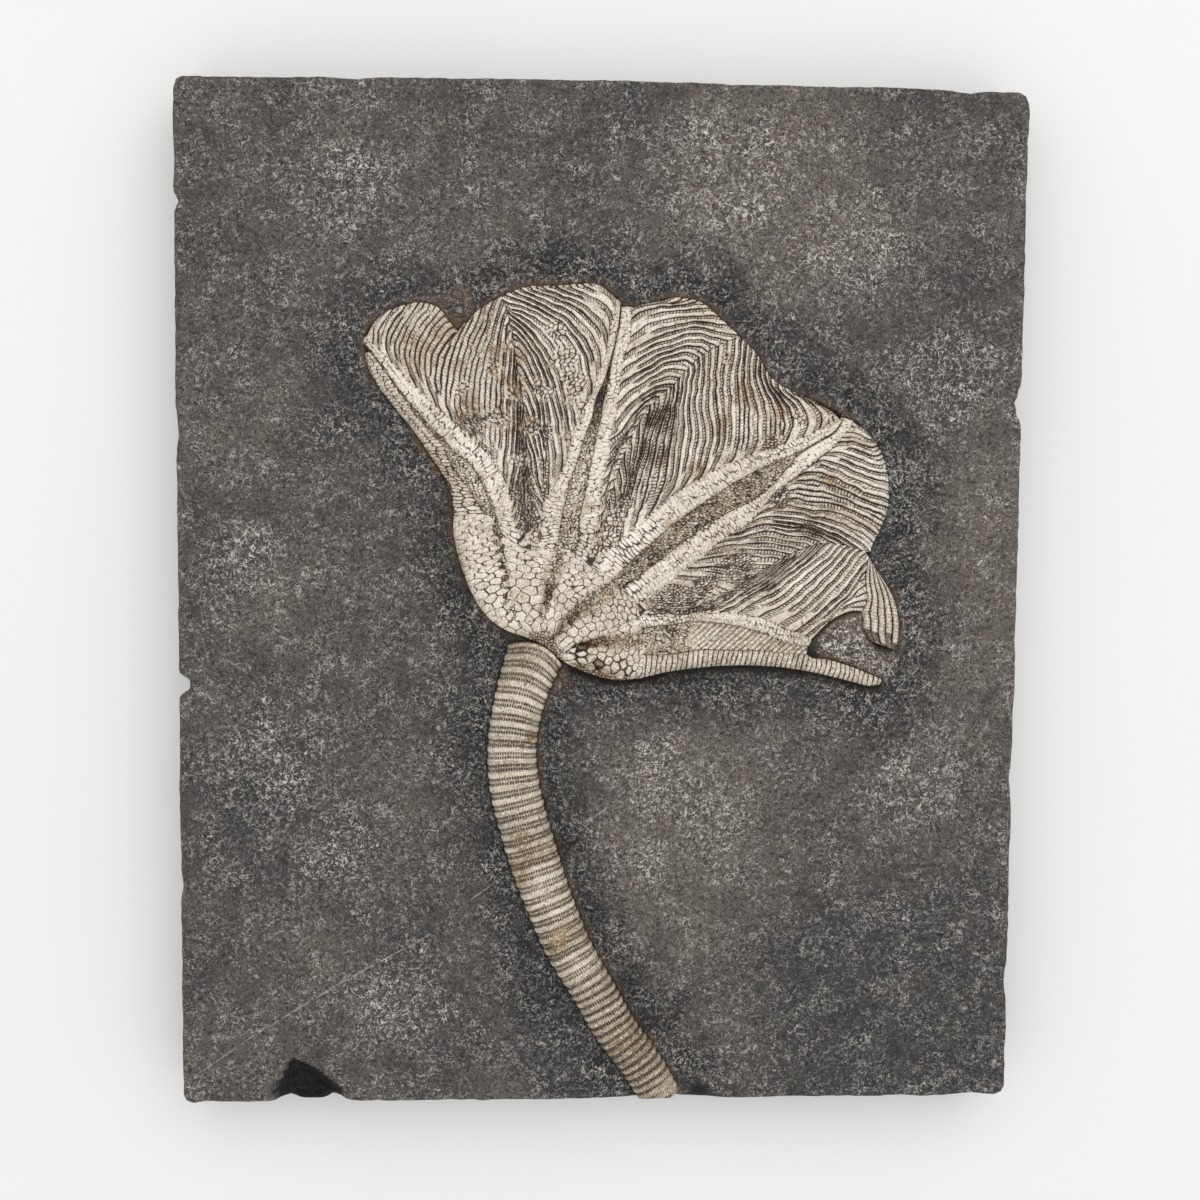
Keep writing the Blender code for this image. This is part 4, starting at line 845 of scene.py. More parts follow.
# ------------------------------------------------------------------ cup
# the cup's rays from the base up: x, y, width
CUP_RAYS = (
    ((-17.7, -7, 4), (-22.1, -4.1, 6.5), (-25.8, 0, 8.5), (-28.7, 6.4, 9.5), (-31.2, 16.1, 9.5),
     (-33.8, 24, 7)),
    ((-16, -6.5, 4), (-19, -2.1, 7), (-18.5, 2.8, 8.5), (-18.8, 7.4, 8.8), (-17.3, 14, 12)),
    ((-13.4, -6.5, 4), (-12.2, -2.1, 5.5), (-9.7, 0.8, 6), (-7.6, 5, 6.5), (-5.7, 13.6, 5.5)),
    ((-9.2, 1.5, 3), (-6, 4.5, 5), (-1.5, 7.5, 5.5), (2, 10.5, 5)),
    ((-10.4, -10.2, 4), (-6.3, -7, 5.5), (-1.4, -5.2, 6), (2.5, -2, 6), (8.6, 2.2, 5.5)),
    ((1, -6.5, 3), (5, -5, 4), (11, -3.5, 3.5)),
    ((-9, -13, 4), (-6.7, -12.6, 4.5), (-1.3, -13, 5), (4.8, -14.3, 6), (11, -15.5, 5.5)),
)
GRANULE_LINES = (
    ((-20.5, -6), (-22.6, -2.1), (-23.9, 5.7), (-25.1, 12.5), (-26.5, 19)),
    ((-15, -4), (-13.9, -0.4), (-12.4, 5.7), (-10.3, 13)),
    ((-10, -8), (-8, -4), (-3.2, 0.9), (4, 6.5)),
    ((-8, -12), (-4.3, -10.5), (1.8, -9.2), (10, -9)),
)


def courses(ray, seed):
    """Plates in courses along a ray, three side by side and each course half a plate over: centre, half
    width, half height and direction of each. The courses get lower up the ray."""
    line = flow(ray)
    tall = np.append(np.geomspace(2.9, 1.1, 12), np.full(20, 1.1))
    s = np.cumsum(tall) - tall[0] / 2
    tall = tall[s < lengths(line)[-1]]
    s = s[:len(tall)]
    wide = np.interp(s, lengths(line), line[:, 2]) / 2.7
    run = along(line, s + 0.2) - along(line, s - 0.2)
    angle = np.arctan2(run[:, 1], run[:, 0])
    course, side = np.meshgrid(np.arange(len(s)), (-1.25, -0.25, 0.75), indexing="ij")
    side = side + 0.5 * (course % 2) + 0.3 * (toss(course, side, seed) - 0.5)
    up = 0.35 * tall[:, None] * (toss(course, side, seed + 1) - 0.5)
    cos, sin = np.cos(angle)[:, None], np.sin(angle)[:, None]
    x = along(line, s)[:, :1] + cos * up - sin * side * wide[:, None]
    y = along(line, s)[:, 1:] + sin * up + cos * side * wide[:, None]
    size = 0.85 + 0.3 * toss(course, side, seed + 2)
    plates = (x, y, wide[:, None] / 2 * size, tall[:, None] / 2 * size, angle[:, None] + 0 * x)
    return np.stack(plates, axis=-1).reshape(-1, 5)


def granules(line, seed):
    """Small round plates scattered along a line between two rays, in the same terms as the courses."""
    line = flow(line)
    count = round(lengths(line)[-1] / 0.24)
    number = np.arange(count)
    spot = along(line, lengths(line)[-1] * toss(number, 1, seed))
    size = 0.28 + 0.22 * toss(number, 2, seed)
    aside = 1.7 * (np.stack((toss(number, 3, seed), toss(number, 4, seed)), 1) - 0.5)
    return np.column_stack((spot + aside, size, size, 0 * size))


def nearest_plates(x, y, plates):
    """For each point: the way to the nearest joint between two plates in millimetres, the plate's own
    tossed number and its size. A plate's pull is the distance to its centre in its own half sizes."""
    flat = np.column_stack((x.ravel(), y.ravel()))
    near, second, own = np.empty(len(flat)), np.empty(len(flat)), np.empty(len(flat), int)
    cos, sin = np.cos(plates[:, 4]), np.sin(plates[:, 4])
    for block in np.array_split(np.arange(len(flat)), len(flat) // 3000 + 1):
        off = flat[block, None] - plates[None, :, :2]
        pull = np.hypot((off[..., 0] * cos + off[..., 1] * sin) / plates[:, 3],
                        (off[..., 1] * cos - off[..., 0] * sin) / plates[:, 2])
        two = np.argpartition(pull, 1, axis=1)[:, :2]
        pulls = np.take_along_axis(pull, two, axis=1)
        first = pulls.argmin(axis=1)
        own[block] = two[np.arange(len(block)), first]
        near[block], second[block] = pulls.min(axis=1), pulls.max(axis=1)
    size = np.sqrt(plates[own, 2] * plates[own, 3])
    border = (second - near) / 2 * size
    return [part.reshape(x.shape) for part in (border, toss(own, 7, 3), size, near)]


def ray_profile(ray, x, y):
    """How high the cup's ray stands at each point, 0 to 1: half an ellipse across its line, as wide as the
    ray is there."""
    line = flow(ray, 0.8)
    flat = np.column_stack((x.ravel(), y.ravel()))
    way = np.hypot(flat[:, :1] - line[:, 0], flat[:, 1:] - line[:, 1]) / (0.55 * line[:, 2])
    return np.sqrt(1 - np.clip(way.min(axis=1), 0, 1) ** 2).reshape(x.shape)


def crown_lift(arms):
    """Height above the skin along the cup's top, where the arms' trunks begin: half an ellipse over each
    trunk, then the armlets' foot, and the sunken webs between. Gives it as a function of the distance
    along ABOVE_CUP."""
    def lift(s):
        best = -WEB_SINK + 0 * s
        for start, end, share in arms:
            t = (s - start) / (end - start) / share
            past = (t - 1) * share * abs(end - start)
            foot = np.where((t > 1) & (t < 1 / share), TRUNK_FOOT * np.exp(-past / TRUNK_FOOT_REACH), 0)
            trunk = half_round(t * (1 - TRUNK_FOOT**2 / 4)) * (t < 1) * (t > 0)
            best = np.maximum(best, TRUNK_HEIGHT * np.maximum(trunk, foot))
        return best
    return lift


def cup(top_lift, finish):
    """The cup: a patch blended from its four edges (Coons), with a low ridge to each ray that turns into
    the arms' trunks at the top. It is paved with plates, big at the base and lower up the rays, and with
    granules between the rays."""
    base_left, base_right = OUTLINE[0], OUTLINE[-3]
    low = stretch(RIM, base_left, base_right)
    left_end, right_end = (meet(RIM, end) for end in (BELOW_CUP[:CUP_LINE_END], BELOW_CUP[-CUP_LINE_END:]))
    left = stretch(RIM, base_left, left_end)
    right = stretch(RIM, base_right, right_end)
    high = stretch(BELOW_CUP, left_end, right_end)
    u = np.linspace(0, 1, 330)
    v = np.linspace(0, 1, 200)
    bottom, top, start, end = (along(edge, t * lengths(edge)[-1])
                               for edge, t in ((low, u), (high, u), (left, v), (right, v)))
    uu, vv = u[None, :, None], v[:, None, None]
    xy = ((1 - vv) * bottom[None] + vv * top[None] + (1 - uu) * start[:, None] + uu * end[:, None]
          - (1 - uu) * (1 - vv) * bottom[0] - uu * (1 - vv) * bottom[-1]
          - (1 - uu) * vv * top[0] - uu * vv * top[-1])
    x, y = xy[..., 0], xy[..., 1]
    v = v[:, None]
    ridge = np.max([ray_profile(ray, x, y) for ray in CUP_RAYS], axis=0)
    lift = TRUNK_HEIGHT * (0.5 + 0.5 * v) * ridge * np.clip(6 * v, 0, 1)
    start_of_high = place_on(ABOVE_CUP, high[:1])[0]
    shape = top_lift(start_of_high + lengths(top))[None]
    lift = lift + (shape - lift) * smooth((v - 0.5) / 0.5)

    plates = np.vstack([courses(ray, 10 * n) for n, ray in enumerate(CUP_RAYS)]
                       + [granules(line, 5 * n) for n, line in enumerate(GRANULE_LINES)])
    reach = np.sqrt(plates[:, 2] * plates[:, 3])
    apart = np.hypot(*(plates[:, None, :2] - plates[None, :, :2]).T)
    plates = plates[~np.tril(apart < 0.45 * (reach[:, None] + reach[None]), -1).any(axis=1)]
    bend_x, bend_y = x + 0.22 * drift(x, y, 1.6, 31), y + 0.22 * drift(x, y, 1.6, 32)
    border, own, size, pull = nearest_plates(bend_x, bend_y, plates)
    loose, loose_own = cells(x / 0.75, y / 0.75, 33)
    gaps = smooth((pull - 1.2) / 0.2)
    border = border + (0.75 * loose - border) * gaps
    own = own + (loose_own - own) * gaps
    joint = smooth(1 - border / np.minimum(0.17, 0.32 * size + 0.1 * gaps))
    dome = np.minimum(border / np.maximum(size, 0.5), 0.5)
    low_edge = smooth(1 - v / 0.05)
    broken = patches(CUP_BROKEN, x, y)
    missing = broken * (own > 0.7)
    # the low ground between the rays: sunk a little, browner, and darkened with painted shade to show the
    # rays' relief
    valley = smooth(1.6 - 2 * ridge) * smooth(2 - 2 * v) * smooth(4 * v)
    lift = lift - 0.13 * joint + 0.22 * dome - 0.6 * missing + 0.06 * rough(x, y, 3, 35)
    lift = lift - 0.35 * valley
    small = smooth(1.6 - 2.2 * size)
    way = border * (1.5 - 0.1 * small) * (1 - 0.6 * broken) / (1 + 0.3 * drift(x, y, 5, 36))
    # the valleys' share of furrow, ochre and tone is partly their own brown and partly painted shade
    furrow = 0.3 * joint * (1 - 0.35 * gaps) + 0.35 * valley + 0.15 * small + 0.6 * missing
    brown = patches(CUP_BROWN, x, y)
    ochre = smooth(1.5 * drift(x, y, 6, 37) - 0.2) * (0.12 + 0.6 * furrow) + 0.6 * brown * (0.3 + furrow)
    ochre = ochre + 0.5 * low_edge + 0.3 * valley + 0.12
    tone = (0.5 + 0.4 * (own - 0.5) - 0.3 * gaps - 0.3 * small + 0.25 * rough(x, y, 6, 38)
            - 0.8 * missing - 0.5 * valley)
    marks = {"furrow": furrow, "ochre": ochre, "tone": tone, "line": nearness(way + 0.05 * gaps)}
    return embedded("cup", on_skin(xy, lift), marks, finish)


# ------------------------------------------------------------------ column
def stem(finish):
    """The column: half an ellipse carried along its line. Each 3 mm holds one raised nodal and three thin
    columnals, bowed towards the crown and more so near it. Further down they are older, each 2 mm with one
    broad nodal. The furrow mark is how deep in a joint a point is, and arc the way round the column for
    the joints' teeth."""
    total, cracked_at = place_on(STEM_LINE, ((STEM[-1][0], -SLAB_LENGTH / 2), STEM_BREAK))
    s = np.linspace(0, total, 760)
    centre = along(STEM_LINE, s)
    width = np.interp(s, lengths(STEM_LINE), STEM_LINE[:, 2])
    run, left = headings(centre)
    angle = np.linspace(0, math.pi, 72)[:, None]
    side = np.cos(angle)
    bow = STEM_END_BOW * np.exp(-s / STEM_END_BOW_REACH) + STEM_RING_BOW
    bow = bow * smooth((total - s) / 8)
    aged = smooth((s - 78) / 12)
    place = np.cumsum(np.gradient(s) / (STEM_BAND_PITCH - aged)) + 0.06 * waver(s, 6, 3)
    place = place[None] + 0.05 * drift(s[None], 4 * side, 5, 4)
    band = np.mod(place, 1.0)
    nodal = 1 - np.clip(np.abs(band - 0.11 - 0.1 * aged) / (0.26 + 0.1 * aged), 0, 1) ** 3
    nodal = np.maximum(nodal, 1 - np.clip((1 - band) / 0.15, 0, 1) ** 3)
    joints = ((0.42, 0.15, 1 - aged), (0.77, 0.15, 1 - aged), (0.7, 0.3, aged))
    joint = np.max([smooth(1.6 - 1.6 * np.abs(band - at) / reach) * only for at, reach, only in joints],
                   axis=0)
    swell = STEM_BAND_HEIGHT * nodal + 0.08 - 0.16 * joint
    swell = swell * (1 + 0.35 * drift(np.floor(place), side * 2, 1.7, 5))
    reach = (width - STEM_BAND_HEIGHT)[None] / 2 * side
    xy = centre[None] + left[None] * (reach + swell / 2 * side)[..., None]
    xy = xy - run[None] * (bow[None] * (1 - side**2))[..., None]
    x = xy[..., 0]
    y = np.maximum(xy[..., 1], -SLAB_LENGTH / 2 + nicked(x, LOWER_NICKS, 57) + 0.12)
    broken, worn, rusty = (patches(spots, x, y) for spots in (STEM_BROKEN, STEM_WORN, STEM_RUSTY))
    past = s[None] - cracked_at + 0.5 * drift(4 * side, s[None], 2, 12)
    crack = np.exp(-(past / 0.3) ** 2)
    lowering = 1 - 0.25 * smooth((s - total + 7) / 7)
    crest = STEM_RISE * np.sin(angle) ** STEM_ROUNDNESS * lowering[None]
    raised = crest > 0.3
    z = STEM_EDGE_LEVEL + crest + swell * (1 - 0.8 * worn) * raised - 0.5 * broken
    z = z + 0.07 * rough(x, y, 4, 7)
    z = z - STEM_BREAK_STEP * smooth(past / 0.4) * smooth((30 - past) / 20) * raised
    furrow = joint * (1 - 0.7 * worn) * (0.75 + 0.35 * drift(x, y, 4, 8) + 0.3 * aged[None])
    tone = (0.6 * nodal - 0.3 + 0.7 * (toss(np.floor(place), 3, 11) - 0.5)) * (1 - worn)
    marks = {
        "furrow": np.maximum(furrow, 0.8 * crack),
        "arc": angle * width[None] / 2,
        "ochre": smooth(1.4 * drift(x, y, 9, 9)) * 0.35 + 0.9 * rusty + 0.5 * aged[None] * nodal,
        "tone": tone + 0.4 * rough(x, y, 8, 10) - 0.9 * broken + 0.4 * worn - 0.5 * aged[None],
    }
    return embedded("stem", np.dstack((x, y, z)), marks, finish)


# ------------------------------------------------------------------ slab
# where the sawn edges are chipped: place along the edge, how far in, reach
LEFT_NICKS = ((95.7, 1.3, 2.6), (-20.4, 3.7, 3.4), (40, 0.5, 6), (-70, 0.6, 5))
RIGHT_NICKS = ((49.3, 2.0, 6.5), (-44, 0.7, 8), (100, 0.5, 5), (-95, 0.8, 6))
TOP_NICKS = ((-60, 0.5, 8), (30, 0.4, 10), (88, 0.7, 5))
LOWER_NICKS = ((-65, 1.6, 4), (-78, 0.9, 5), (-97, 0.5, 4), (16, 0.9, 7), (94, 0.6, 6))
# scratches from one point to another
SCRATCHES = (
    ((-98, -117), (-86, -108.5)), ((-86, -108.5), (-64, -95)), ((-64, -95), (-42, -83)),
    ((-60, -105), (-54.5, -100)), ((-3.5, -55), (2, -51)), ((-31.5, -74), (-24, -69)),
    ((44, -22), (49, -19.5)), ((74, -21.5), (79, -16.5)),
)
# round patches of the rock: x, y, radius
GRITTY = (
    (15, -42, 14), (28, -54, 15), (10, -62, 10), (-80, -40, 18), (-64, -62, 14), (80, -45, 16),
    (30, 104, 24), (60, 88, 20), (-62, 100, 16), (-88, 10, 14), (85, 55, 18), (-50, -100, 16),
    (72, -15, 8),
)
EARTHY = ((-36, 71, 6), (-9.5, -19, 6), (2, -23, 5), (18, -20, 4))
NOTCHED = ((-64.5, -124.5, 2.6), (24.8, -123.5, 3.2), (-39.2, 29.8, 0.9))
GULF = ((60, -8.5, 10), (67, -13, 8))        # the rock between the two lowest arms
PALE_ROCK = ((88, 15, 50), (40, 100, 40), (20, -55, 30))
DARK_ROCK = ((75, -105, 50), (-5, -110, 25))
# the outline of the big chip at the lower edge
CHIP = ((-76.5, -112.9), (-81, -122), (-79, -127), (-65, -127), (-63.5, -121.5), (-69.5, -116.5))
# how far down the sides their rings of points lie, as shares of the whole way
SIDE_RINGS = (0.05, 0.12, 0.22, 0.34, 0.47, 0.6, 0.74, 0.88, 1.0)


def stem_outline():
    """The column's edge on the map, as a closed line."""
    left, right = (beside(STEM_LINE, half * STEM_LINE[:, 2] / 2) for half in (1, -1))
    across = np.linspace(-1, 1, 15)[:, None]
    back = STEM_LINE[0, :2] - STEM_LINE[2, :2]
    back *= (STEM_END_BOW + STEM_RING_BOW) / np.hypot(*back)
    cap = (right[0] + left[0]) / 2 + (left[0] - right[0]) / 2 * across + back * (1 - across**2)
    return np.vstack((left[1::5], right[:0:-5], cap, left[1:2]))


def within(ring, x, y):
    """Whether each point is inside a closed line: the line crosses the ray to its right an odd number of
    times."""
    odd = np.zeros(np.shape(x), bool)
    for (ax, ay), (bx, by) in zip(ring[:-1, :2].tolist(), ring[1:, :2].tolist()):
        if ay != by:
            odd ^= ((ay > y) != (by > y)) & (x < (bx - ax) * (y - ay) / (by - ay) + ax)
    return odd


def spread(stops):
    """Places from stop to stop at each stretch's own spacing: stops are (place, spacing up to the next)."""
    parts = [np.linspace(a, b, round((b - a) / step), endpoint=False)
             for (a, step), (b, _) in zip(stops[:-1], stops[1:])]
    return np.append(np.concatenate(parts), stops[-1][0])


def nicked(s, nicks, seed):
    """How far in a sawn edge lies at each place: a fine ragged line and its nicks, each a rounded notch."""
    depth = 0.22 + 0.13 * waver(s, 7, seed) + 0.09 * waver(s, 2, seed + 1)
    for place, deep, reach in nicks:
        near = np.clip(1 - np.abs(s - place) / reach, 0, 1)
        depth = depth + deep * smooth(near) * (0.8 + 0.2 * waver(s, 1.5, seed + 2))
    return depth


def slab(finish):
    """The slab: a height field over a grid that is finer round the fossil, its border drawn in to the
    chipped sawn edges, then rough sides straight down and a flat underside. The rock is scraped down
    beside the fossil and dips under it."""
    across = spread(((-SLAB_WIDTH / 2, 0.5), (-SLAB_WIDTH / 2 + 3, 1.15), (-62, 0.68), (78, 1.15),
                     (SLAB_WIDTH / 2 - 3, 0.5), (SLAB_WIDTH / 2, 1)))
    up = spread(((-SLAB_LENGTH / 2, 0.5), (-108, 1.0), (-27, 0.68), (81, 1.2), (SLAB_LENGTH / 2 - 3, 0.5),
                 (SLAB_LENGTH / 2, 1)))
    x, y = np.meshgrid(across, up, indexing="ij")
    by_left, by_right, by_lower, by_top = (
        smooth(1 - reach / 9) for reach in (x + SLAB_WIDTH / 2, SLAB_WIDTH / 2 - x,
                                            y + SLAB_LENGTH / 2, SLAB_LENGTH / 2 - y))
    bow = TOP_EDGE_BOW * np.cos(math.pi * x / SLAB_WIDTH)
    move_x = by_left * nicked(y, LEFT_NICKS, 51) - by_right * nicked(y, RIGHT_NICKS, 54)
    move_y = by_lower * nicked(x, LOWER_NICKS, 57) + by_top * (bow - nicked(x, TOP_NICKS, 60))
    cut_x, cut_y = (np.clip(SLAB_CORNER_WEAR - (size / 2 - np.abs(to)), 0, SLAB_CORNER_WEAR)
                    for size, to in ((SLAB_WIDTH, x), (SLAB_LENGTH, y)))
    pull = 0.3 * cut_x * cut_y / SLAB_CORNER_WEAR
    x, y = x + move_x - np.sign(x) * pull, y + move_y - np.sign(y) * pull

    stem_ring = stem_outline()
    to_crown, to_stem = distance_to(RIM_CHAIN, x, y), distance_to(stem_ring, x, y)
    away = np.minimum(to_crown, to_stem)
    under = within(RIM_CHAIN, x, y) | within(stem_ring, x, y)
    outside = np.where(under, 0, away)
    depth = np.where(under, away, 0)
    t = np.clip(outside / (SCRAPED_REACH * (1 + 0.35 * rough(x, y, 22, 63))), 0, 1)
    z = SLAB_THICKNESS - 0.25 - SCRAPED_DEPTH * (1 - smooth(t))
    shore = np.exp(-outside / 2.2) * (1 - smooth(depth / 0.5))
    z = z + 0.25 * shore * (0.5 + 0.8 * rough(x, y, 9, 64)) - 2.6 * smooth(depth / 1.8)
    z = z + 0.16 * rough(x, y, 7, 65) + 0.09 * rough(x, y, 1.9, 66)
    chip_ring = np.array(CHIP + CHIP[:1], dtype=float)
    chip = np.where(within(chip_ring, x, y), distance_to(chip_ring, x, y), 0)
    facet, _ = cells(x / 2.4 + 0.2 * y, y / 3.1, 68)
    z = z - smooth(chip / 0.6) * (0.6 + np.minimum(chip, 4) + 0.9 * facet + 0.4 * rough(x, y, 2.5, 67))
    worn = [np.exp(-reach / 0.5) for reach in (
        np.abs(x - x[:1]), np.abs(x - x[-1:]), np.abs(y - y[:, :1]), np.abs(y - y[:, -1:]))]
    z = z - SLAB_EDGE_WEAR * np.clip(sum(worn), 0, 1.2) * (0.8 + 0.5 * rough(x, y, 3, 69))
    z = np.minimum(z, SLAB_THICKNESS)
    z[away > 5] = np.maximum(z[away > 5], 3)

    by_stem = to_stem < to_crown
    right_of_stem = smooth((x - np.interp(-y, -STEM_LINE[:, 1], STEM_LINE[:, 0])) / 2)
    earth = np.exp(-(outside / np.where(by_stem, 0.9, 1.25)) ** 2) * (1 - smooth(depth / 1))
    by_crown = smooth(0.75 + 0.9 * drift(x, y, 12, 71) + 0.5 * smooth((y - 45) / 10))
    earth = earth * np.where(by_stem, right_of_stem, by_crown)
    earth = np.maximum(earth, 0.75 * patches(EARTHY, x, y))
    gulf = patches(GULF, x, y)
    lower = smooth((-8 - y) / 4) * smooth((x + 12) / 6) * smooth((74 - x) / 3) * (1 - by_stem)
    lower = lower * (1 - smooth(3 * gulf))
    # painted shadow: a dark line along the edges of the crown and the column, broader and darker under the
    # crown's lower edge, where the raised crown shades the rock
    painted_edge_shadow = np.exp(-(outside / (0.5 + 1.5 * lower)) ** 2) * (0.65 + 0.5 * lower + 0.35 * drift(x, y, 5, 74))
    z = z - 0.9 * lower * np.exp(-(outside / 1.3) ** 2) * (1 - under)
    z = z + 0.5 * gulf * (1 - under) + 0.3 * gulf * rough(x, y, 3, 75)
    gritty = np.maximum(0.8 * gulf, 0.35 * patches(GRITTY, x, y) * smooth(outside / 4 - 0.5))
    marks = {
        "near": smooth(1.15 - outside / (15 + 5 * rough(x, y, 14, 76))) * (1 - 0.8 * gulf),
        "grit": np.clip(gritty, 0, 1),
        "broad": 0.2 * patches(PALE_ROCK, x, y) - 0.25 * patches(DARK_ROCK, x, y),
        "earth": np.maximum(earth * (1 - lower), 0.15 * gulf),
        "painted_edge_shadow": np.clip(painted_edge_shadow, 0, 1),
        "fresh": np.maximum(smooth(chip / 0.45), patches(NOTCHED, x, y)),
    }

    faces, border = grid_faces(*x.shape)
    top = np.dstack((x, y, z)).reshape(-1, 3)
    ring = top[border]
    down = np.array(SIDE_RINGS)[:, None]
    inward = -ring[:, :2] / np.maximum(np.abs(ring[:, :2]).max(axis=1, keepdims=True), 1)
    level = ring[None, :, 2] * (1 - down)
    way = lengths(ring)[None] + 0 * level
    bite = 0.3 + 0.3 * rough(way, level, 9, 72) + 0.16 * rough(way, level, 2.5, 73)
    bite = bite * smooth(down * 8) * (1 - 0.6 * smooth(down * 6 - 5))
    sides = np.dstack((ring[None, :, :2] + inward[None] * np.clip(bite, 0, 2)[..., None], level))
    below = len(top) + np.arange(level.size).reshape(level.shape)
    belts = np.concatenate((border[None], below))
    walls = wall_faces(belts)
    vertices = np.vstack((top, sides.reshape(-1, 3)))
    kept = {"fresh": 1 - smooth(1.6 * down)}       # the black of the chips fades down the sides
    marks = {mark: np.append(values.ravel(), values.ravel()[border] * kept.get(mark, 1 + 0 * down))
             for mark, values in marks.items()}
    return put("slab_carved", "slab", vertices, (faces, walls, belts[-1:]),
               len(faces) + len(walls), finish, marks)


# ------------------------------------------------------------------ finishes
def paint(red, green, blue):
    """A colour as a painter mixes it (0 to 255 each) in the shader's own light values."""
    shade = np.array((red, green, blue)) / 255
    linear = np.where(shade <= 0.04045, shade / 12.92, ((shade + 0.055) / 1.055) ** 2.4)
    return (*linear.tolist(), 1.0)


class Finish:
    """A node material under way. Lengths in it are millimetres, from the piece's own coordinates."""

    def __init__(self, name, roughness):
        self.material = bpy.data.materials.new(name)
        self.material.use_nodes = True
        self.tree = self.material.node_tree
        self.shader = self.tree.nodes["Principled BSDF"]
        self.shader.inputs["Roughness"].default_value = roughness
        self.shader.inputs["Specular IOR Level"].default_value = 0.3
        place = self.node("ShaderNodeTexCoord").outputs["Object"]
        self.place = self.sum("MULTIPLY", place, (1 / MM,) * 3, vector=True)

    def node(self, kind, **settings):
        """A node with its settings."""
        made = self.tree.nodes.new(kind)
        for setting, value in settings.items():
            setattr(made, setting, value)
        return made

    def feed(self, socket, value):
        """A link into the socket, or its plain value."""
        if isinstance(value, bpy.types.NodeSocket):
            self.tree.links.new(value, socket)
        else:
            socket.default_value = value

    def sum(self, operation, *values, vector=False, clamp=False):
        """One step of arithmetic."""
        made = self.node("ShaderNodeVectorMath" if vector else "ShaderNodeMath", operation=operation)
        if not vector:
            made.use_clamp = clamp
        for socket, value in zip(made.inputs, values):
            self.feed(socket, value)
        return made.outputs[0]

    def times(self, one, other, clamp=False):
        """Two values multiplied."""
        return self.sum("MULTIPLY", one, other, clamp=clamp)

    def plus(self, one, other, clamp=False):
        """Two values added."""
        return self.sum("ADD", one, other, clamp=clamp)

    def less(self, one, other):
        """The second value taken from the first."""
        return self.sum("SUBTRACT", one, other)

    def most(self, one, other):
        """The larger of two values."""
        return self.sum("MAXIMUM", one, other)

    def mark(self, name):
        """One of the piece's marks."""
        return self.node("ShaderNodeAttribute", attribute_name=name).outputs["Fac"]

    def noise(self, size, detail=3.0, rough=0.55, stretch=(1, 1, 1), bend=0.0):
        """Noise whose lumps are about size millimetres across, from 0 to 1."""
        place = self.sum("MULTIPLY", self.place, stretch, vector=True)
        made = self.node("ShaderNodeTexNoise")
        for socket, value in (("Vector", place), ("Scale", 1 / size), ("Detail", detail),
                              ("Roughness", rough), ("Distortion", bend)):
            self.feed(made.inputs[socket], value)
        return made.outputs["Fac"]

    def cloud(self, size, detail, low, high, to_low=0.0, to_high=1.0, rough=0.55):
        """Such noise, stretched from one range to another and held there."""
        return self.span(self.noise(size, detail, rough), low, high, to_low, to_high)

    def worms(self, size, width):
        """Thin curved strokes: 1 where noise of this size crosses its middle, broken up by other noise."""
        off = self.sum("ABSOLUTE", self.less(self.noise(size, 1.5, 0.5, bend=0.6), 0.5))
        return self.times(self.span(off, width / 2, width, 1, 0), self.cloud(size * 1.3, 1.0, 0.46, 0.54))

    def stroke(self, start, end):
        """A thin scratch from one place to another: up to 0.75 on it."""
        start, end = (np.array((*point, 0.0)) for point in (start, end))
        off = self.sum("SUBTRACT", self.place, start, vector=True)
        off = self.sum("MULTIPLY", off, (1, 1, 0), vector=True)
        way = self.node("ShaderNodeVectorMath", operation="DOT_PRODUCT")
        self.feed(way.inputs[0], off)
        self.feed(way.inputs[1], (end - start) / ((end - start) ** 2).sum())
        share = self.times(way.outputs["Value"], 1, clamp=True)
        along_it = self.node("ShaderNodeVectorMath", operation="SCALE")
        self.feed(along_it.inputs[0], end - start)
        self.feed(along_it.inputs["Scale"], share)
        apart = self.node("ShaderNodeVectorMath", operation="DISTANCE")
        self.feed(apart.inputs[0], off)
        self.feed(apart.inputs[1], along_it.outputs[0])
        return self.span(apart.outputs["Value"], 0.07, 0.2, 0.75, 0)

    def crackle(self, size):
        """How far, from 0, each point is from the nearest border of cells about size millimetres across."""
        made = self.node("ShaderNodeTexVoronoi", feature="DISTANCE_TO_EDGE")
        self.feed(made.inputs["Vector"], self.place)
        self.feed(made.inputs["Scale"], 1 / size)
        return made.outputs["Distance"]

    def ramp(self, value, *stops):
        """The value turned to a colour by stops of (place, colour)."""
        made = self.node("ShaderNodeValToRGB")
        band = made.color_ramp
        while len(band.elements) < len(stops):
            band.elements.new(0.5)
        for element, (place, colour) in zip(band.elements, stops):
            element.position, element.color = place, colour
        self.feed(made.inputs["Fac"], value)
        return made.outputs["Color"]

    def span(self, value, low, high, to_low=0.0, to_high=1.0):
        """The value stretched from one range to another and held there."""
        made = self.node("ShaderNodeMapRange", clamp=True)
        for socket, number in zip(made.inputs, (value, low, high, to_low, to_high)):
            self.feed(socket, number)
        return made.outputs[0]

    def blend(self, amount, under, over, kind="MIX"):
        """Two colours mixed by an amount."""
        made = self.node("ShaderNodeMix", data_type="RGBA", blend_type=kind)
        for socket, value in ((made.inputs[0], amount), (made.inputs[6], under), (made.inputs[7], over)):
            self.feed(socket, value)
        return made.outputs[2]

    def dress(self, colour, height, depth, roughness=None):
        """The colour and the bump, its full height being depth millimetres."""
        self.feed(self.shader.inputs["Base Color"], colour)
        bump = self.node("ShaderNodeBump")
        bump.inputs["Strength"].default_value = 1.0
        bump.inputs["Distance"].default_value = depth * MM
        self.feed(bump.inputs["Height"], height)
        self.feed(self.shader.inputs["Normal"], bump.outputs["Normal"])
        if roughness is not None:
            self.feed(self.shader.inputs["Roughness"], roughness)
        return self.material


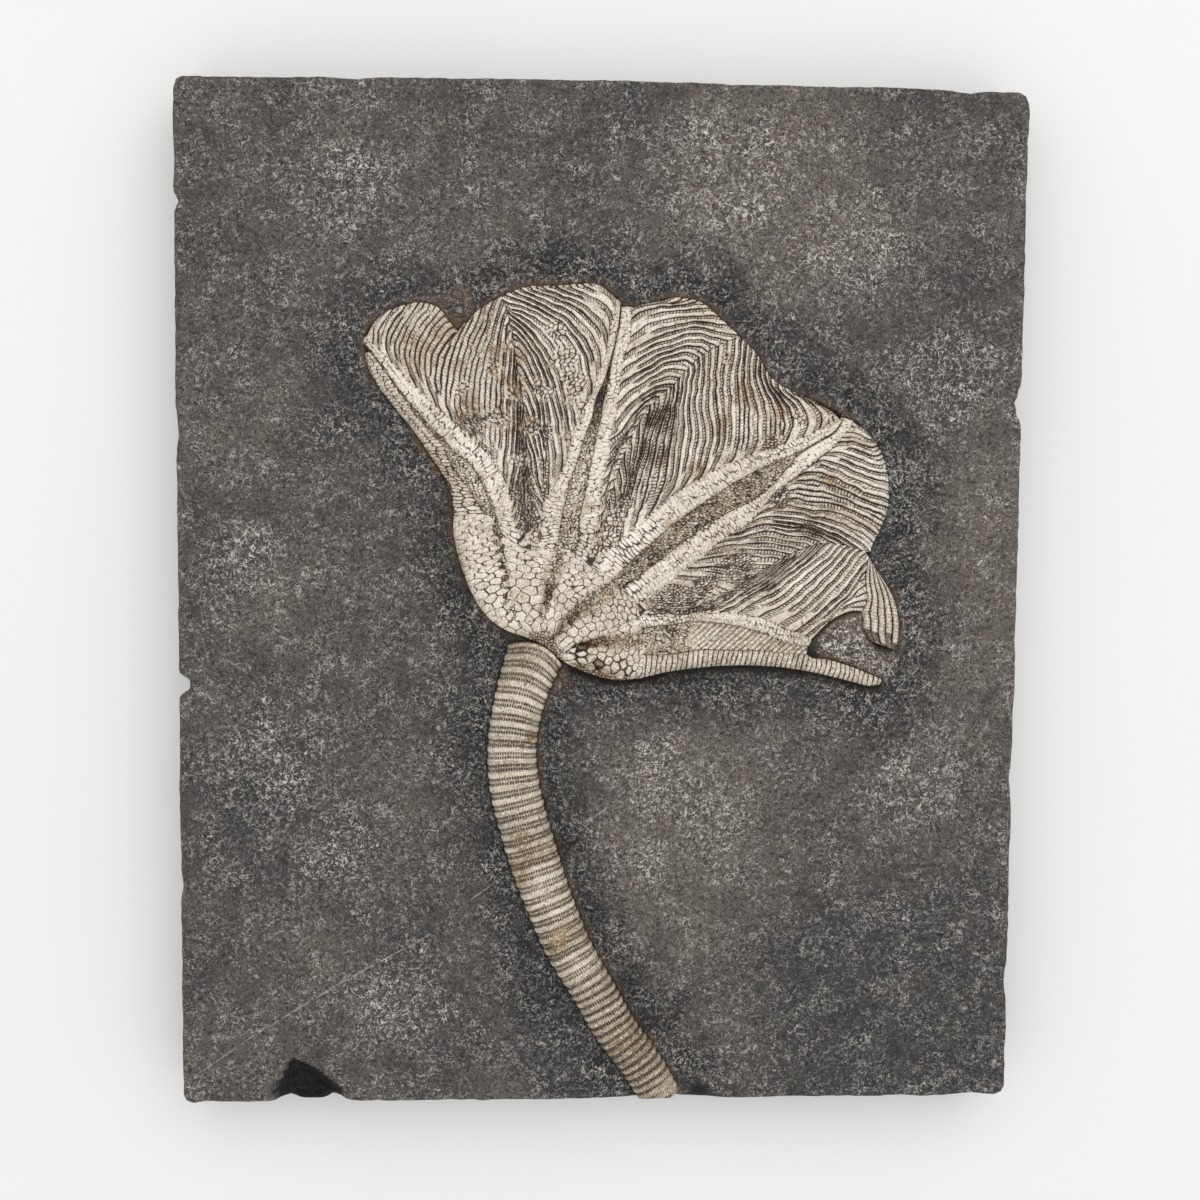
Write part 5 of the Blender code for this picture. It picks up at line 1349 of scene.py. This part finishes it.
def calcite_finish(name, dull, fair, pale, dark, rust):
    """Fossil calcite: fair, paler or duller by the tone mark and fine noise, dark in the furrows and along
    the joints' lines, rusty where the ochre mark says."""
    look = Finish(name, 0.6)
    tone = look.plus(look.mark("tone"), look.cloud(0.55, 3.0, 0.3, 0.7, -0.6, 0.6, rough=0.7))
    tone = look.plus(tone, look.cloud(14, 2.0, 0.3, 0.7, -0.2, 0.2))
    body = look.ramp(look.span(tone, -1, 1), (0.0, dull), (0.45, fair), (1.0, pale))
    ochre = look.times(look.mark("ochre"), look.cloud(2.2, 3.0, 0.3, 0.65, 0.35, 1.3), clamp=True)
    body = look.blend(look.times(ochre, 0.8), body, rust)
    body = look.blend(look.times(look.worms(0.6, 0.05), 0.8), body, pale)

    furrow = look.mark("furrow")
    if name == "column_calcite":
        teeth = look.sum("SINE", look.times(look.mark("arc"), 2 * math.pi / STEM_TOOTH_PITCH))
        furrow = look.times(furrow, look.span(teeth, -0.5, 0.5, 0.35, 1.7))
    cracks = look.times(look.span(look.crackle(0.62), 0.0, 0.11, 0.4, 0),
                        look.cloud(3.2, 2.0, 0.45, 0.62, 0, 0.8))
    speck = look.times(look.worms(0.75, 0.035), look.cloud(4, 2.0, 0.4, 0.6, 0.35, 1.0))
    furrow = look.plus(look.most(furrow, cracks), speck, clamp=True)
    gold = look.times(look.span(look.most(furrow, look.mark("line")), 0.2, 0.6, 0, 0.6),
                      look.cloud(1.4, 2.0, 0.46, 0.62))
    body = look.blend(gold, body, rust)

    line = look.span(look.plus(look.mark("line"), look.cloud(1.3, 2.0, 0.3, 0.7, -0.16, 0.1)), 0.55, 0.75)
    off_bead = look.sum("ABSOLUTE", look.less(look.sum("FRACT", look.mark("beads")), 0.5))
    between = look.times(look.span(off_bead, 0.28, 0.42), look.span(look.mark("row"), 0.2, 0.9))
    drawn = look.most(line, between)
    ink = look.blend(look.times(ochre, 0.7, clamp=True), dark, paint(74, 52, 30))
    colour = look.blend(look.span(furrow, 0.2, 0.9, 0, 0.9), body, ink)
    colour = look.blend(look.times(drawn, 0.92), colour, ink)
    grit = look.ramp(look.cloud(0.34, 2.0, 0.34, 0.66, rough=0.8),
                     (0.0, paint(105, 105, 108)), (1.0, paint(246, 246, 248)))
    colour = look.blend(0.5, colour, grit, "OVERLAY")
    height = look.less(look.noise(0.45, 3.0, 0.7), look.times(look.most(cracks, drawn), 0.6))
    return look.dress(colour, height, 0.2)


def shale_finish():
    """Dark shale: grey with dark pits and a fine pale worm-like speckle, darker and bluer beside the fossil,
    brown where earth clings, black where it is freshly chipped or creased."""
    look = Finish("dark_shale", 0.7)
    near = look.mark("near")
    base = look.ramp(look.plus(look.noise(30, 5.0, 0.65), look.mark("broad")),
                     (0.3, paint(74, 72, 73)), (0.7, paint(118, 109, 101)))
    halo = look.times(near, look.cloud(11, 4.0, 0.3, 0.6, 0.55, 0.95, rough=0.6))
    colour = look.blend(halo, base, paint(53, 53, 58))
    mottle = look.times(look.cloud(7, 6.0, 0.48, 0.6, rough=0.75), look.span(near, 0.0, 1.0, 0.12, 0.9))
    colour = look.blend(mottle, colour, paint(34, 33, 37))
    grain = look.ramp(look.cloud(0.36, 3.0, 0.36, 0.64, rough=0.8), (0.0, paint(30, 30, 30)),
                      (0.5, paint(118, 118, 118)), (1.0, paint(225, 222, 218)))
    colour = look.blend(0.55, colour, grain, "OVERLAY")
    pits = look.times(look.worms(0.9, 0.06), look.span(near, 0, 1, 0.75, 1))
    colour = look.blend(pits, colour, paint(30, 29, 30))
    patchy = look.plus(look.cloud(9, 6.0, 0.4, 0.66, 0.08, 0.65, rough=0.75),
                       look.most(look.mark("grit"), look.times(near, 0.1)), clamp=True)
    worms = look.most(look.worms(0.7, 0.05), look.worms(1.3, 0.035))
    colour = look.blend(look.times(worms, patchy), colour, paint(232, 226, 218))
    scratched = 0.0
    for start, end in SCRATCHES:
        scratched = look.most(scratched, look.stroke(start, end))
    scratched = look.times(scratched, look.cloud(2.0, 3.0, 0.38, 0.6, rough=0.7))
    colour = look.blend(scratched, colour, paint(190, 187, 182))
    earth = look.times(look.mark("earth"), look.cloud(3, 3.0, 0.35, 0.6, 0.2, 1.0), clamp=True)
    colour = look.blend(look.times(earth, 0.85), colour, paint(122, 98, 70))
    # painted shadow along the edges of the crown and the column
    colour = look.blend(look.mark("painted_edge_shadow"), colour, paint(38, 33, 28))
    colour = look.blend(look.mark("fresh"), colour, paint(19, 18, 20))
    height = look.plus(look.noise(0.7, 3.0, 0.7), look.times(look.noise(3.5, 3.0), 1.4))
    height = look.plus(look.less(height, look.times(pits, 0.5)), look.times(worms, 0.4))
    return look.dress(colour, height, 0.3, look.span(look.mark("fresh"), 0, 1, 0.7, 0.38))


# ------------------------------------------------------------------ the whole fossil
def dress_fossil():
    """Make every piece."""
    dark = paint(32, 30, 28)
    calcite, skin, column = (
        calcite_finish(name, paint(*dull), paint(*fair), paint(*pale), dark, paint(*rust))
        for name, dull, fair, pale, rust in (
            ("pale_calcite", (116, 106, 92), (191, 179, 158), (253, 246, 231), (156, 120, 76)),
            ("stained_skin", (96, 88, 76), (192, 180, 157), (250, 243, 224), (160, 122, 72)),
            ("column_calcite", (118, 106, 88), (180, 168, 148), (240, 230, 210), (138, 110, 74))))
    slab(shale_finish())
    stem(column)
    apex = {ray: meet(RIM, line) for ray, line in FORKS.items()}
    fans = (
        ("ray_2_left_arm", "1_2", 1, 2, 1, FAN_2_LEFT, 26, -0.1, False, 100),
        ("ray_2_right_arm", "2_3", -1, 2, -1, FAN_2_RIGHT, 28, 0.2, False, 200),
        ("ray_3_left_arm", "2_3", 1, 3, 1, FAN_3_LEFT, 32, 0.1, False, 300),
        ("ray_3_right_arm", "3_4", -1, 3, -1, FAN_3_RIGHT, 38, 0.1, False, 400),
        ("ray_4_left_arm", "3_4", 1, 4, 1, FAN_4_LEFT, 34, 0.1, False, 500),
        ("ray_4_right_arm", "4_5", -1, 4, -1, FAN_4_RIGHT, 24, 0.8, True, 600),
    )
    starts = []
    for node, web_name, web_sign, ray, fork_sign, guides, armlets, narrower, turned, seed in fans:
        web_side = web_edge(WEBS[web_name], web_sign)
        seam = beside(FORKS[ray], fork_sign * SEAM)
        if node == "ray_4_right_arm":
            tips = beside(TIPS_LINE, -SEAM)
            seam = np.vstack((seam[:-SEAM_END_GAP], tips[SEAM_END_GAP:-CORNER_GAP],
                              stretch(RIM, TIPS_SEAM[-1], RIM_BELOW_FAN_4)))
        else:
            seam = np.vstack((seam[:-CORNER_GAP], stretch(RIM, apex[ray], guides[-1][0])))
        ends = meet(ABOVE_CUP, web_side), meet(ABOVE_CUP, seam)
        starts.append((*place_on(ABOVE_CUP, ends), CUP_PLACES[0]))
        fan(node, web_side, seam, guides, armlets, narrower, turned, seed, calcite)

    web_side = web_edge(WEBS["1_2"], -1)
    left = stretch(RIM, meet(RIM, ABOVE_CUP[:CUP_LINE_END]), RIM_AT_ARM_1_TIP)
    right = stretch(web_side, meet(web_side, ABOVE_CUP), WEB_AT_ARM_1_TIP)
    starts.append((*place_on(ABOVE_CUP, (left[0], right[0])), 1))
    bare_arm("ray_1_arm", left, right, 700, calcite)

    web_side = web_edge(WEBS["4_5"], 1)
    low = stretch(RIM, meet(RIM, ABOVE_CUP[-CUP_LINE_END:]), RIM_UNDER_ARM_5_TIP)
    high = np.vstack((stretch(web_side, meet(web_side, ABOVE_CUP), web_side[0]),
                      stretch(RIM, RIM_AT_GAP_CORNER, RIM_AT_ARM_5_TIP)))
    starts.append((*place_on(ABOVE_CUP, (high[0], low[0])), 1))
    bare_arm("ray_5_arm", high, low, 800, calcite, ladder=True)

    left = np.vstack((stretch(beside(TIPS_LINE, SEAM), TIPS_TOP_LEFT, TIPS_SEAM[-1]),
                      stretch(RIM, RIM_BELOW_TIPS_SEAM, TIPS_BOTTOM_LEFT)))
    right = stretch(RIM, TIPS_TOP_RIGHT, TIPS_BOTTOM_RIGHT)
    loose_armlets("ray_5_arm_tips", left, right, 5, 900, calcite)
    for seed, (web_name, line) in enumerate(WEBS.items()):
        web("web_" + web_name, line, 40 + seed, skin)
    cup(crown_lift(starts), calcite)


# ------------------------------------------------------------------ the studio
def studio():
    """A pale floor, soft light from all round and a broad lamp towards the crown's end, and a camera
    above that looks almost straight down."""
    reach = 3.0
    corners = [(-reach, -reach, 0), (reach, -reach, 0), (reach, reach, 0), (-reach, reach, 0)]
    mesh = bpy.data.meshes.new("floor")
    mesh.from_pydata(corners, [], [(0, 1, 2, 3)])
    look = Finish("pale_floor", 0.9)
    colour = look.ramp(look.noise(160, 2.0), (0.0, paint(238, 238, 238)), (1.0, paint(243, 243, 242)))
    mesh.materials.append(look.dress(colour, look.noise(2), 0.01))
    floor = add("floor", mesh)

    world = bpy.data.worlds.new("studio")
    world.use_nodes = True
    sky = world.node_tree.nodes["Background"]
    sky.inputs["Color"].default_value = (1.0, 1.0, 1.0, 1.0)
    sky.inputs["Strength"].default_value = 0.89
    bpy.context.scene.world = world
    lamp = bpy.data.lights.new("window", "AREA")
    lamp.shape, lamp.size, lamp.size_y, lamp.energy = "RECTANGLE", 1.25, 0.95, 3.2
    window = add("window", lamp)
    window.location = (0.2, 0.6, 0.95)
    window.rotation_euler = (math.radians(-34), math.radians(10), 0)

    lens = bpy.data.cameras.new("camera")
    lens.lens, lens.sensor_width = 48.0, 36.0
    lens.clip_start, lens.clip_end = 0.01, 10
    camera = add("camera", lens)
    camera.location = (-0.0192, 0.0278, 0.4088)
    camera.rotation_euler = tuple(math.radians(a) for a in (-4.05, -2.69, 0.45))
    bpy.context.scene.camera = camera
    bpy.context.scene.view_settings.view_transform = "Standard"


dress_fossil()
studio()
